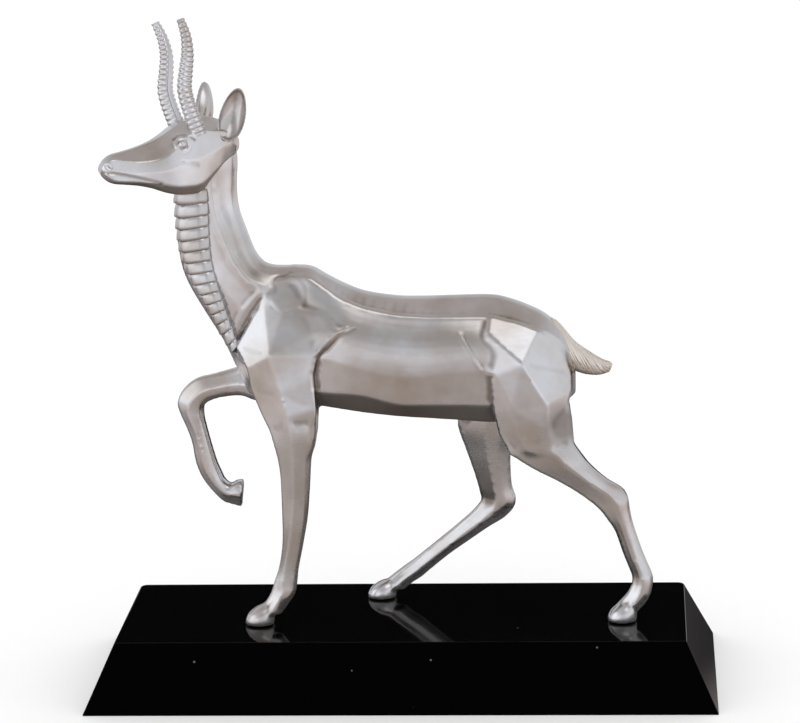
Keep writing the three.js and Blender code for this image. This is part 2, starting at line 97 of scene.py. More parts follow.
def new_material(name):
    """An empty material and its node tree, ready to be filled."""
    material = bpy.data.materials.new(name)
    material.use_nodes = True
    material.node_tree.nodes.clear()
    return material, material.node_tree


print("object helpers ready")

# %% Node helpers
def add_node(tree, kind, inputs=None, **settings):
    """A node with these options and inputs. An input is a socket to link or a plain value."""
    made = tree.nodes.new(kind)
    for name, value in settings.items():
        setattr(made, name, value)
    for name, value in (inputs or {}).items():
        if isinstance(value, bpy.types.NodeSocket):
            tree.links.new(value, made.inputs[name])
        else:
            made.inputs[name].default_value = value
    return made


def math_node(tree, operation, *values):
    """The result of a sum on sockets or plain numbers."""
    return add_node(tree, "ShaderNodeMath", dict(enumerate(values)), operation=operation).outputs[0]


def vector_node(tree, operation, inputs):
    """A Vector Math node with this operation."""
    return add_node(tree, "ShaderNodeVectorMath", inputs, operation=operation)


def ranged(tree, value, start, end, low=0.0, high=1.0, **settings):
    """A value brought from one range into another, and held at its ends."""
    given = {"Value": value, "From Min": start, "From Max": end, "To Min": low, "To Max": high}
    return add_node(tree, "ShaderNodeMapRange", given, **settings).outputs["Result"]


def colour_between(tree, value, start, end, first, last, **settings):
    """A colour that runs from the first to the last as a value goes from start to end. The
    node's vector inputs share names with its number inputs, so they are given by their places."""
    given = {6: value, 7: (start,) * 3, 8: (end,) * 3, 9: first, 10: last}
    ramp = add_node(tree, "ShaderNodeMapRange", given, data_type="FLOAT_VECTOR", **settings)
    return ramp.outputs["Vector"]


def blended(tree, factor, under, over):
    """One colour laid over another by a factor from 0 to 1."""
    given = {"Factor": factor, "A": under, "B": over}
    return add_node(tree, "ShaderNodeMix", given, data_type="RGBA").outputs["Result"]


def noise(tree, place, scale, detail):
    """Soft noise from 0 to 1."""
    given = {"Vector": place, "Scale": scale, "Detail": detail}
    return add_node(tree, "ShaderNodeTexNoise", given).outputs["Fac"]


def object_place(tree):
    """Object coordinates, which are metres in the frame."""
    return add_node(tree, "ShaderNodeTexCoord").outputs["Object"]


def show(tree, shader):
    """Ends a material with this shader."""
    add_node(tree, "ShaderNodeOutputMaterial", {"Surface": shader.outputs[0]})


print("node helpers ready")

# %% [markdown]
# ## The camera
# A long lens looks down on the sculpture by 14 degrees from the animal's left side. The place and
# the angles are measured values, so the matrix is put together from its three directions.

# %% Camera
CAMERA_PLACE = Vector((139.3, -1772.9, 633.8)) * MM
CAMERA_YAW = math.radians(-4.45)
CAMERA_PITCH = math.radians(14.07)
CAMERA_ROLL = math.radians(-1.66)
PICTURE_WIDTH = 800
FOCAL_PIXELS = 3216.1


def add_camera():
    """The camera, from its place, three angles and focal length."""
    ahead = Vector((math.sin(CAMERA_YAW) * math.cos(CAMERA_PITCH),
                    math.cos(CAMERA_YAW) * math.cos(CAMERA_PITCH), -math.sin(CAMERA_PITCH)))
    level = Vector((math.cos(CAMERA_YAW), -math.sin(CAMERA_YAW), 0))
    above = level.cross(ahead)
    right = level * math.cos(CAMERA_ROLL) + above * math.sin(CAMERA_ROLL)
    up = above * math.cos(CAMERA_ROLL) - level * math.sin(CAMERA_ROLL)
    data = bpy.data.cameras.new("camera")
    data.sensor_width = 36
    data.lens = FOCAL_PIXELS / PICTURE_WIDTH * data.sensor_width
    camera = add_object("camera", data)
    turned = Matrix((right, up, -ahead)).transposed().to_4x4()
    camera.matrix_world = Matrix.Translation(CAMERA_PLACE) @ turned
    bpy.context.scene.camera = camera
    return camera


camera = add_camera()
print("lens", round(camera.data.lens, 1), "mm")

# %% [markdown]
# ## The studio
# Polished metal shows the room more than itself. The floor is plain and pale under an even white
# sky. Three shapes that only reflections can see stand for the room: a dome with soft lamps on it,
# a glowing mat for what lies around the plinth, and a black card behind the plinth that keeps the
# polished stone black. A lamp has a direction from the sculpture, the angles in degrees at which
# it begins and ends to fade, a colour and a strength.

# %% Studio values
ROOM_RADIUS = 5.0
GLOW_HEIGHTS = (0.3, 0.95)
HORIZON_GLOW = (0.66, 0.67, 0.705)
CEILING_GLOW = (0.45, 0.41, 0.395)
LAMPS = [
    ("key, left and in front", (-0.86, -0.45, 0.26), 8, 34, (0.99, 0.99, 1.0), 0.5),
    ("high, above the camera", (0.21, -0.61, 0.77), 5, 20, (0.97, 0.98, 1.0), 0.75),
    ("low, left of the camera", (-0.42, -0.9, 0.08), 4, 16, (0.98, 0.99, 1.0), 0.4),
    ("right side", (0.75, -0.6, 0.2), 10, 50, (0.98, 0.98, 1.0), 0.12),
]
DIM_PLACE = (-0.05, -0.88, 0.47)
DIM_ANGLES = (4, 20)
DIM_LIGHT = 0.75
FLOOR_GLOWS = [
    ((0.42, 0.365, 0.335), "Y", 0.05, -0.16),
    ((0.26, 0.31, 0.38), "Y", -0.3, -0.95),
    ((0.45, 0.41, 0.4), "Y", 0.2, 0.7),
    ((0.2, 0.19, 0.2), "X", 0.1, -0.4),
    ((0.3, 0.28, 0.29), "X", 0.08, 0.5),
]
CARD_HALF_WIDTH = 0.4
CARD_PLACE = 0.26
CARD_HEIGHTS = (0.085, 0.165)
FLOOR_HALF = 40
MAT_HALF = 4
MAT_HEIGHT = 0.0004
SKY_STRENGTH = 1.12
print("lamps", [lamp[0] for lamp in LAMPS])

# %% Stage materials
def dome_material():
    """A glow that runs from the horizon to the ceiling, with the lamps on it and one dim place."""
    material, tree = new_material("studio_dome")
    direction = vector_node(tree, "NORMALIZE", {0: object_place(tree)}).outputs["Vector"]
    height = add_node(tree, "ShaderNodeSeparateXYZ", {0: direction}).outputs["Z"]
    total = colour_between(tree, height, *GLOW_HEIGHTS, HORIZON_GLOW, CEILING_GLOW)

    def patch(towards, inner, outer, outside, inside):
        """A value that fades from outside a round patch to inside it, between two angles."""
        facing = vector_node(tree, "DOT_PRODUCT", {0: direction, 1: Vector(towards).normalized()})
        return ranged(tree, facing.outputs["Value"], math.cos(math.radians(outer)),
                      math.cos(math.radians(inner)), outside, inside,
                      interpolation_type="SMOOTHERSTEP")

    for name, towards, inner, outer, colour, strength in LAMPS:
        share = patch(towards, inner, outer, 0, 1)
        lit = vector_node(tree, "MULTIPLY_ADD", {0: share, 1: Vector(colour) * strength, 2: total})
        lit.label = name
        total = lit.outputs["Vector"]
    shade = patch(DIM_PLACE, *DIM_ANGLES, 1, DIM_LIGHT)
    dimmed = vector_node(tree, "SCALE", {0: total, "Scale": shade}).outputs["Vector"]
    show(tree, add_node(tree, "ShaderNodeEmission", {"Color": dimmed}))
    return material


def mat_material():
    """What the metal sees of the floor: glows that grow to the front, the back and both sides, and
    dark close behind the plinth. Each has a colour, an axis, and where it begins and is full."""
    material, tree = new_material("room_floor")
    split = add_node(tree, "ShaderNodeSeparateXYZ", {0: object_place(tree)})
    glows = [colour_between(tree, split.outputs[axis], start, end, (0, 0, 0), colour,
                            interpolation_type="SMOOTHSTEP")
             for colour, axis, start, end in FLOOR_GLOWS]
    total = glows[0]
    for glow in glows[1:]:
        total = vector_node(tree, "ADD", {0: total, 1: glow}).outputs["Vector"]
    show(tree, add_node(tree, "ShaderNodeEmission", {"Color": total}))
    return material


def matt(name, colour):
    """A plain matt material."""
    material, tree = new_material(name)
    show(tree, add_node(tree, "ShaderNodeBsdfDiffuse", {"Color": (*colour, 1)}))
    return material


print("stage materials ready")

# %% Stage shapes
def stage_piece(thing, material, camera_sees):
    """Dresses a stage shape. One that the camera doesn't see shows in reflections alone."""
    thing.data.materials.append(material)
    if not camera_sees:
        thing.visible_camera = False
        thing.visible_diffuse = False
        thing.visible_shadow = False
        thing.visible_transmission = False
        thing.visible_volume_scatter = False
    return thing


def lamp_dome():
    """The dome, as a mesh object."""
    mesh = bpy.data.meshes.new("studio_dome")
    shape = bmesh.new()
    bmesh.ops.create_uvsphere(shape, u_segments=48, v_segments=24, radius=ROOM_RADIUS)
    shape.to_mesh(mesh)
    shape.free()
    return add_object("studio_dome", mesh)


def flat_square(name, half, height):
    """A square that faces up."""
    corners = [(-half, -half, height), (half, -half, height), (half, half, height),
               (-half, half, height)]
    return add_mesh(name, corners, [], [(0, 1, 2, 3)])


def upright_card(name, half, across, low, high):
    """An upright card across the scene."""
    corners = [(-half, across, low), (half, across, low), (half, across, high),
               (-half, across, high)]
    return add_mesh(name, corners, [], [(0, 1, 2, 3)])


dome = stage_piece(lamp_dome(), dome_material(), False)
floor = stage_piece(flat_square("floor", FLOOR_HALF, 0), matt("pale_floor", (0.93,) * 3), True)
mat = stage_piece(flat_square("room_floor", MAT_HALF, MAT_HEIGHT), mat_material(), False)
card = stage_piece(upright_card("black_card", CARD_HALF_WIDTH, CARD_PLACE, *CARD_HEIGHTS),
                   matt("black_card", (0.008,) * 3), False)
print("stage", [thing.name for thing in (dome, floor, mat, card)])

# %% Sky
world = bpy.data.worlds.new("white_sky")
world.use_nodes = True
sky = world.node_tree.nodes["Background"]
sky.inputs["Color"].default_value = (1, 1, 1, 1)
sky.inputs["Strength"].default_value = SKY_STRENGTH
bpy.context.scene.world = world
bpy.context.scene.view_settings.view_transform = "Standard"
print("sky strength", SKY_STRENGTH)

# %% [markdown]
# ## Tools for closed shapes
# A sculptor works with three kinds of shape here. A skin runs over a row of rings and suits legs,
# neck and head. A hull stretches tight over a few corner points and gives the flat facets of breast and
# far side. A panel is a slab whose face has named corners, with a crease along each line that
# joins them, for the near shoulder and haunch, whose facets fold in as well as out. All three are
# closed shells, so they can be fused into one casting afterwards.

# %% Skins and hulls
def smooth_rows(rows, steps):
    """Rows of numbers with smooth rows worked out between them."""
    rows = [np.asarray(row, float) for row in rows]
    out = []
    for i in range(len(rows) - 1):
        before, start = rows[max(i - 1, 0)], rows[i]
        end, after = rows[i + 1], rows[min(i + 2, len(rows) - 1)]
        for step in range(steps):
            t = step / steps
            bend = 2 * before - 5 * start + 4 * end - after
            twist = 3 * start - before - 3 * end + after
            out.append(start + 0.5 * t * (end - before + t * (bend + t * twist)))
    out.append(rows[-1])
    return out


def skin(rings):
    """A closed shell over rings that all have the same number of points."""
    sides = len(rings[0])
    points = np.concatenate(rings)
    faces = []
    for r in range(len(rings) - 1):
        for i in range(sides):
            a, b = r * sides + i, r * sides + (i + 1) % sides
            faces.append((a, b, b + sides, a + sides))
    faces.append(tuple(reversed(range(sides))))
    faces.append(tuple(range((len(rings) - 1) * sides, len(rings) * sides)))
    return points, faces


def hull(points):
    """A closed shell stretched over a few points."""
    shape = bmesh.new()
    for point in points:
        shape.verts.new(point)
    made = bmesh.ops.convex_hull(shape, input=shape.verts)
    bmesh.ops.delete(shape, geom=made["geom_interior"], context="VERTS")
    shape.verts.index_update()
    corners = np.array([vertex.co[:] for vertex in shape.verts])
    faces = [tuple(vertex.index for vertex in face.verts) for face in shape.faces]
    shape.free()
    return corners, faces


def oval_ring(middle, half_a, half_b, sides, squareness):
    """A ring round a middle point, squarer as squareness falls below 1."""
    angles = 2 * math.pi * (np.arange(sides) + 0.5) / sides
    across = np.sign(np.cos(angles)) * np.abs(np.cos(angles)) ** squareness
    along = np.sign(np.sin(angles)) * np.abs(np.sin(angles)) ** squareness
    return middle + np.outer(across, half_a) + np.outer(along, half_b)


def round_limb(rows, sides=28, steps=6, squareness=0.8):
    """A round limb. A row holds its front edge x, z, its back edge x, z, how far across it is and
    its half width."""
    rings = []
    for front_x, front_z, back_x, back_z, across, half in smooth_rows(rows, steps):
        middle = np.array([(front_x + back_x) / 2, across, (front_z + back_z) / 2])
        depth = np.array([(front_x - back_x) / 2, 0, (front_z - back_z) / 2])
        rings.append(oval_ring(middle, depth, np.array([0, half, 0]), sides, squareness))
    return skin(rings)


def facet_limb(rows, before=((0, 0.36),), after=((0.83, 0.82), (1, 0.4)), steps=6):
    """A leg or neck with flat facets. Its rows end with how far back the ridge on the side lies, as
    a share of the depth. The other corners of a section are pairs of depth and width shares."""
    rings = []
    for front_x, front_z, back_x, back_z, across, half, ridge in smooth_rows(rows, steps):
        corners = np.array([*before, (ridge, 1), *after])
        depth, width = corners[:, 0], corners[:, 1]
        x, z = front_x + (back_x - front_x) * depth, front_z + (back_z - front_z) * depth
        far = np.stack([x, across + half * width, z], axis=1)
        near = np.stack([x, across - half * width, z], axis=1)
        rings.append(np.concatenate([far, near[::-1]]))
    return skin(rings)


HOOF_RINGS = [(0, 0.96, 0), (0.22, 1, 0.01), (0.55, 0.9, 0.07), (0.82, 0.66, 0.17), (1, 0.36, 0.26)]


def hoof(place, length, width, height):
    """A hoof as a dome that flares to a flat sole. Each of its rings holds the share of the height,
    the size, and how far back it lies as a share of the length."""
    rings = []
    for rise, size, back in HOOF_RINGS:
        middle = np.array([place[0] + back * length, place[1], rise * height])
        rings.append(oval_ring(middle, np.array([size * length / 2, 0, 0]),
                               np.array([0, size * width / 2, 0]), 28, 0.9))
    return skin(rings)


def panel(outline, inner, ridges, inside):
    """A closed slab on the near side. Its face has named corners x, z, half width, and creases along
    the outline and the named ridges. Its back is flat, at the half width called inside."""
    corners = {**outline, **inner}
    names = list(corners)
    order = {name: i for i, name in enumerate(names)}
    loop = list(range(len(outline)))
    edges = [(i, (i + 1) % len(loop)) for i in loop]
    edges += [(order[a], order[b]) for line in ridges for a, b in zip(line[:-1], line[1:])]
    flat = [Vector(corners[name][:2]) for name in names]
    faces = delaunay_2d_cdt(flat, edges, [loop], 1, 1e-4)[2]
    face = [(x, -half, z) for x, z, half in corners.values()]
    back = [(x, -inside, z) for x, z, half in corners.values()]
    count = len(names)
    shell = [tuple(one) for one in faces] + [tuple(i + count for i in reversed(one)) for one in faces]
    shell += [(i, i + count, j + count, j) for i, j in edges[:len(loop)]]
    return np.array(face + back), shell


def far_side(points):
    """The same points on the other side of the middle plane."""
    return [(x, -y, z) for x, y, z in points]


def mesh_object(name, shells):
    """One object from closed shells of the drawing, all facing outwards."""
    points, faces, first = [], [], 0
    for shell_points, shell_faces in shells:
        points.append(placed(shell_points))
        faces += [[corner + first for corner in face] for face in shell_faces]
        first += len(shell_points)
    made = add_mesh(name, np.concatenate(points).tolist(), [], faces)
    shape = bmesh.new()
    shape.from_mesh(made.data)
    bmesh.ops.recalc_face_normals(shape, faces=shape.faces)
    shape.to_mesh(made.data)
    shape.free()
    return made


print("shape tools ready")

# %% [markdown]
# ## From shells to one casting
# The shells of a casting overlap, so a voxel remesh fuses them into one closed surface of small
# even faces. Smoothing then takes the steps out and softens ridges as a polisher would. It works
# by pulling each point to its neighbours and pushing it back a little less, which keeps the size.

# %% Fusing and smoothing
def plain_mesh(thing):
    """The mesh with its modifiers worked in, and none left."""
    graph = bpy.context.evaluated_depsgraph_get()
    mesh = bpy.data.meshes.new_from_object(thing.evaluated_get(graph))
    mesh.name = thing.name
    thing.modifiers.clear()
    thing.data = mesh
    return thing


def fused(thing, voxel):
    """The overlapping shells as one surface with faces of about one voxel in millimetres."""
    fuse = thing.modifiers.new("fuse", "REMESH")
    fuse.mode = "VOXEL"
    fuse.voxel_size = voxel * MM
    return plain_mesh(thing)


def corners_of(mesh):
    """Vertex places as rows."""
    values = np.empty(len(mesh.vertices) * 3)
    mesh.vertices.foreach_get("co", values)
    return values.reshape(-1, 3)


def drawn(mesh):
    """Vertex places in the drawing."""
    return (corners_of(mesh) - (0, MIDDLE_PLANE * MM, SOLES)) / MM


def set_corners(mesh, corners):
    """Writes vertex places back."""
    mesh.vertices.foreach_set("co", corners.ravel())
    mesh.update()


def normals_of(mesh):
    """Vertex normals as rows."""
    values = np.empty(len(mesh.vertices) * 3)
    mesh.vertex_normals.foreach_get("vector", values)
    return values.reshape(-1, 3)


def edges_of(mesh):
    """Edge ends as rows."""
    values = np.empty(len(mesh.edges) * 2, np.int32)
    mesh.edges.foreach_get("vertices", values)
    return values.reshape(-1, 2)


def neighbour_mean(values, edges, count):
    """The mean of each vertex's neighbours, for values in rows."""
    degree = np.bincount(edges.ravel(), minlength=count)
    mean = np.empty_like(values)
    for k in range(values.shape[1]):
        column = values[:, k]
        total = np.bincount(edges[:, 0], weights=column[edges[:, 1]], minlength=count)
        total += np.bincount(edges[:, 1], weights=column[edges[:, 0]], minlength=count)
        mean[:, k] = total / degree
    return mean


def polished(thing, rounds, share=1.0):
    """Smooths a mesh, by a share that may differ from vertex to vertex, and keeps its size."""
    mesh = thing.data
    edges, corners = edges_of(mesh), corners_of(mesh)
    weight = np.broadcast_to(np.asarray(share, float), (len(corners),))[:, None]
    for _ in range(rounds):
        for pull in (0.6, -0.61):
            towards = neighbour_mean(corners, edges, len(corners)) - corners
            corners = corners + pull * weight * towards
    set_corners(mesh, corners)
    return thing


print("fusing ready")

# %% [markdown]
# ## Barrel, breast, shoulders and haunches
# The barrel has a narrow back, a flank that bulges softly between two edges, and a belly with a
# bevel on each side. Each of its rows holds the place along the animal, the heights of back,
# upper flank edge, lower flank edge, belly edge and belly, the half widths at the three edges and
# the flank's bulge. Breast, withers, far shoulder and far haunch are hulls over it, with one corner
# point for each place where facets meet. The near shoulder and haunch, which show most, are panels:
# their tables name each corner and give its place along, its height and its half width.

# %% Torso tables
BARREL_ROWS = [
    (-76, 203, 194, 158, 140, 130, 11, 12, 9, 1),
    (-62, 205.5, 200.4, 160, 137, 127, 11.2, 19, 15, 1.2),
    (-49, 205.5, 201.6, 158.5, 136, 124.5, 12.8, 21.6, 18, 1.5),
    (-40, 200.6, 196.6, 156.4, 135.6, 122.8, 14.6, 22.6, 19, 1.9),
    (-30, 195.4, 189.6, 153.4, 135.2, 121, 16, 23.6, 20, 2.6),
    (-18, 190.6, 184, 149.4, 134, 119, 16.5, 24, 20.6, 3),
    (0, 187.7, 180, 145.6, 129, 117, 17, 24.3, 20.8, 3),
    (16, 187.3, 178.6, 145.6, 128.5, 115.8, 17, 24.3, 20.8, 3),
    (32, 187.6, 178.4, 147.6, 128.4, 114.6, 17, 24.3, 20.6, 3),
    (53, 187.8, 178, 147.6, 127.5, 113, 16, 24, 19.4, 3),
    (64, 185.6, 175.8, 146.6, 127.6, 114.5, 15.5, 22.5, 17, 2.5),
    (75, 181.3, 173, 146, 128, 117, 15, 20, 14, 2),
    (86, 175, 169, 145, 130, 122, 13.5, 16, 12, 1.5),
    (96, 163, 160, 144, 132, 126, 9, 10.5, 8, 0.5),
    (101, 146, 145, 140, 134, 130, 4, 5, 4, 0.2),
]
SPINE_HALF = 4.5
BREAST_KEEL = [(-99, 0, 161), (-94.4, 0, 151.8), (-91.7, 0, 145), (-86.6, 0, 131), (-72, 0, 198),
               (-60, 0, 127)]
BREAST_SIDE = [(-85, 20, 151), (-88, 14, 165.6), (-76, 13, 187), (-64, 16, 180), (-82, 14, 134),
               (-64, 15, 133)]
BLADE = [(-74.9, 15.6, 189), (-63, 19, 182.8), (-53.6, 19.6, 185.1), (-40.5, 21.4, 181.9),
         (-29.3, 22, 175.7), (-23.6, 21.6, 175.3), (-32.1, 24.3, 171.5), (-43.8, 25.6, 159.6),
         (-71.5, 26, 159.4), (-84.8, 22, 151.6), (-91.5, 14.6, 161.6), (-62, 2, 196), (-30, 2, 178),
         (-45, 2, 150), (-84, 2, 160)]
FAR_ARM = [(-71.5, 25, 159.4), (-43.8, 25, 159.6), (-84.8, 20.6, 152), (-90.5, 10, 144),
           (-90, 10, 128), (-72, 21, 128), (-52, 20, 140), (-60, 2, 140), (-66, 19, 168),
           (-50, 19, 166)]
HAUNCH = [(53.5, 16.6, 179), (83, 15, 169.6), (51.8, 21.8, 170.4), (37.1, 22.1, 168.9),
          (44, 24.6, 157.4), (49.6, 25, 149.7), (72.3, 27.5, 153.1), (55.2, 25.2, 146.1),
          (81.3, 18.6, 169.4), (85.8, 25, 130), (93.9, 13, 158), (98.7, 12, 142.5),
          (98.6, 13.6, 133.1), (97.4, 14.4, 127.8), (88.6, 22.6, 127.7), (54, 0, 186), (84, 0, 176),
          (100, 0, 146), (94, 0, 126), (56, 2, 126)]
FAR_THIGH = [(44, 23, 150), (73.5, 26, 152), (84, 24, 128), (94, 14, 129), (34, 14, 117),
             (33.6, 13, 106), (47, 27, 108), (64, 15, 104), (40, 5, 125), (88, 4, 124)]
SHOULDER_CAP = [(-80, 13, 196), (-76, 14.6, 188), (-63, 18.7, 183.4), (-53, 17.4, 186),
                (-42, 14.8, 192), (-55, 11.3, 201), (-70, 10.8, 200), (-62, 2, 206), (-62, 2, 184),
                (-80, 2, 190)]
print("barrel rows", len(BARREL_ROWS), "haunch corners", len(HAUNCH))

# %% Panel tables
NEAR_SHOULDER = {
    "neck": (-74.9, 189, 14.8), "plate": (-62.9, 182.6, 19.3), "blade": (-53.6, 185.1, 18.1),
    "blade middle": (-40.5, 181.9, 19.6), "blade end": (-29.3, 175.7, 20.9),
    "elbow top": (-23.6, 175.3, 20.8), "elbow": (-32.1, 171.5, 23.2), "elbow end": (-43.8, 159.6, 24.8),
    "rear": (-46.6, 147.8, 25.2), "rear middle": (-45.6, 128, 24.8), "rear low": (-46.6, 112, 23.6),
    "rear end": (-48.9, 100, 22.2), "leg corner": (-52.6, 99, 25.4), "leg ridge": (-59.6, 98.5, 26.9),
    "leg front": (-69.4, 100, 21.8), "leg front high": (-72.4, 112.6, 21.2),
    "front low": (-77.4, 124, 20.4), "front": (-83, 138, 19.6), "chest low": (-84.8, 151.6, 21.4),
    "chest": (-91.5, 161.6, 13),
}
NEAR_SHOULDER_INNER = {
    "blade low": (-48, 171, 22.5), "chest point": (-71.5, 159.4, 26), "arm": (-65, 137.2, 26.6),
    "arm low": (-61.5, 122.5, 26.8),
}
NEAR_SHOULDER_RIDGES = [
    ("plate", "chest point", "chest low"), ("chest point", "arm", "arm low", "leg ridge"),
    ("chest point", "elbow end"), ("arm", "rear middle"), ("arm", "chest low"),
]
NEAR_SHOULDER_BACK = 4
NEAR_HAUNCH = {
    "crease": (53.5, 179, 16.2), "back edge": (68.5, 175.3, 16.4), "rump": (81.5, 170, 16.6),
    "rump high": (93.5, 158, 12), "rump middle": (98.8, 144, 12.2), "rump low": (99, 134, 14.2),
    "notch": (97.4, 127.8, 16.2), "hollow": (98.9, 117.3, 16.6), "hollow low": (99.8, 105, 18.8),
    "leg back": (99.4, 102.8, 19.4), "leg corner": (93.6, 101.8, 22.6), "leg ridge": (87, 101, 24.8),
    "leg middle": (74.6, 100.6, 23.4), "leg front": (63, 99.6, 18.4), "front low": (57.4, 110, 18),
    "front": (54.6, 124.6, 20.4), "front top": (55.2, 146.1, 24.8), "fold": (49.6, 149.7, 24.5),
    "crease low": (51.8, 170.4, 21.8),
}
NEAR_HAUNCH_INNER = {
    "hip": (72.3, 153.1, 27), "ridge": (85.8, 130, 26), "bend": (85.8, 114, 25.6),
    "thigh": (64.6, 126, 25.4),
}
NEAR_HAUNCH_RIDGES = [
    ("crease low", "hip", "ridge", "notch"), ("rump", "hip"), ("ridge", "bend", "leg ridge"),
    ("front top", "thigh", "leg middle"), ("hip", "front top"), ("ridge", "thigh"),
]
NEAR_HAUNCH_BACK = 8
print("panel corners", len(NEAR_SHOULDER | NEAR_SHOULDER_INNER), len(NEAR_HAUNCH | NEAR_HAUNCH_INNER))

# %% Torso shells
FLANK_STEPS = 8
ROWS_BETWEEN = 3


def barrel():
    """The barrel's shell, from the breast to the root of the tail."""
    rings = []
    for x, back, z1, z3, z4, belly, w1, w3, w4, bulge in smooth_rows(BARREL_ROWS, ROWS_BETWEEN):
        half = [(min(SPINE_HALF, w1 * 0.6), back - (back - z1) * 0.09), (w1, z1)]
        for i in range(1, FLANK_STEPS):
            t = i / FLANK_STEPS
            half.append((w1 + (w3 - w1) * t + bulge * math.sin(math.pi * t), z1 + (z3 - z1) * t))
        half += [(w3, z3), (w4, z4), (min(SPINE_HALF, w4 * 0.6), belly + (z4 - belly) * 0.06)]
        right = [(x, w, z) for w, z in half]
        left = [(x, -w, z) for w, z in reversed(half)]
        rings.append(np.array([(x, 0, back), *right, (x, 0, belly), *left]))
    return skin(rings)


torso = [barrel(), hull(BREAST_KEEL + BREAST_SIDE + far_side(BREAST_SIDE))]
torso += [hull(BLADE), hull(FAR_ARM), hull(HAUNCH), hull(FAR_THIGH)]
torso += [hull(SHOULDER_CAP), hull(far_side(SHOULDER_CAP))]
torso += [panel(NEAR_SHOULDER, NEAR_SHOULDER_INNER, NEAR_SHOULDER_RIDGES, NEAR_SHOULDER_BACK),
          panel(NEAR_HAUNCH, NEAR_HAUNCH_INNER, NEAR_HAUNCH_RIDGES, NEAR_HAUNCH_BACK)]
print("torso shells", len(torso))

# %% [markdown]
# ## Neck and legs
# These are skins over sections with flat facets. Each row gives the front and back edge as seen
# from the side, the place across, the half width and how far back the ridge on the side lies, so
# the tables read like the outline of the animal, from the body down to the sole.

# %% Neck and leg tables
NECK_ROWS = [
    (-88, 140, -46, 196, 0, 12, 0.7), (-94.4, 152.4, -54, 205.3, 0, 13.4, 0.72),
    (-99.6, 164, -62, 205.8, 0, 14.6, 0.74), (-105.6, 174.6, -69, 206, 0, 15, 0.76),
    (-111.6, 185, -74.6, 208, 0, 14.8, 0.76), (-117.2, 195.4, -78.8, 213, 0, 14.2, 0.76),
    (-121, 205.4, -81.6, 219.4, 0, 13.4, 0.74), (-122.8, 216, -84.5, 228, 0, 12.8, 0.71),
    (-123.6, 227, -87.6, 238, 0, 12.5, 0.68), (-123.6, 240, -88.7, 248, 0, 12.5, 0.65),
    (-123, 252, -88.4, 258, 0, 12.6, 0.62), (-118, 266, -87.8, 267, 0, 12.8, 0.6),
    (-112, 276, -88.6, 275, 0, 11.6, 0.6), (-109, 281, -91, 280, 0, 8, 0.55),
]
NECK_BEFORE = [(0, 0.3), (0.12, 0.6), (0.4, 0.86)]
NECK_AFTER = [(0.94, 0.56), (1, 0.22)]
NEAR_FORE = [
    (-74, 140, -52, 143, -16, 5, 0.5), (-74, 130, -50, 128, -17, 6, 0.5),
    (-73.4, 120, -47, 120, -17.6, 8.7, 0.5), (-72.4, 112.6, -46.6, 111.5, -18.2, 9, 0.49),
    (-69, 98, -49.8, 97, -19, 8.1, 0.49), (-67.6, 85, -50.8, 85, -19.6, 7.3, 0.47),
    (-67.4, 65, -52.8, 64, -20.5, 6.4, 0.43), (-67.9, 47, -56.2, 46, -21.4, 5.6, 0.34),
    (-70.2, 33.6, -59.2, 32, -22, 5.2, 0.3), (-73.2, 25, -60.2, 24, -22.4, 5.6, 0.36),
    (-75.4, 18.4, -61.2, 18.6, -22.8, 6, 0.44), (-79, 12.6, -65, 13, -23.2, 5.8, 0.48),
    (-84, 8, -70, 6, -23.8, 6, 0.5),
]
FAR_FORE = [
    (-82, 147, -70, 121, 14, 10, 0.5), (-90, 144, -84, 123.4, 15.2, 8.8, 0.5),
    (-97, 141.8, -93, 126.2, 16, 7.8, 0.5), (-108, 138.7, -103.6, 125.2, 16.6, 7, 0.5),
    (-118.8, 135.8, -110.6, 123.2, 17, 6.6, 0.5), (-127, 129, -114.4, 120.6, 17.2, 6.6, 0.5),
    (-130.4, 121.4, -115.4, 117, 17.2, 6.2, 0.45), (-128.9, 114.4, -115, 111.9, 17, 5.6, 0.45),
    (-125.8, 106.6, -113.8, 106, 17, 5, 0.45), (-123, 97.5, -111.9, 97.5, 17, 4.8, 0.45),
    (-121.3, 86, -108.9, 86, 17, 5.2, 0.45), (-118.6, 78, -106.6, 80, 17, 5.4, 0.45),
    (-114.4, 71, -104.4, 75, 17, 5.4, 0.5), (-107, 62.6, -101.2, 72.4, 17, 5.6, 0.5),
    (-101.4, 60.2, -98, 74, 17, 6.2, 0.5), (-95.4, 58.6, -94, 74.4, 17, 6.4, 0.5),
]
NEAR_HIND = [
    (68, 126, 88, 125, -15, 5, 0.66), (64, 112, 94, 114, -15.4, 7, 0.66),
    (62.4, 100.6, 100, 104, -15.8, 9.2, 0.65), (68.6, 95.2, 102.9, 99.6, -16, 9, 0.65),
    (78, 89.2, 107, 94, -16.4, 8, 0.64), (88, 84, 112.5, 88.2, -16.7, 7.2, 0.64),
    (99, 77.5, 119, 82.8, -17, 6.4, 0.62), (108, 71, 126.4, 78.2, -17.2, 6, 0.6),
    (114, 65.6, 130, 73, -17.4, 6, 0.58), (118.5, 59.5, 131.2, 65, -17.6, 5.6, 0.54),
    (122.8, 52.4, 133, 56.4, -17.9, 5, 0.5), (126.8, 40.3, 136.7, 44.6, -18.3, 4.8, 0.5),
    (130, 32, 140.2, 35, -18.8, 5, 0.5), (132.2, 25, 143.8, 25.4, -19.2, 5.6, 0.5),
    (130.6, 18.4, 142.8, 17, -19.6, 5.7, 0.5), (126.4, 12.8, 139.6, 11, -20, 5.6, 0.5),
    (122, 8, 135, 6, -20.4, 5.8, 0.5),
]
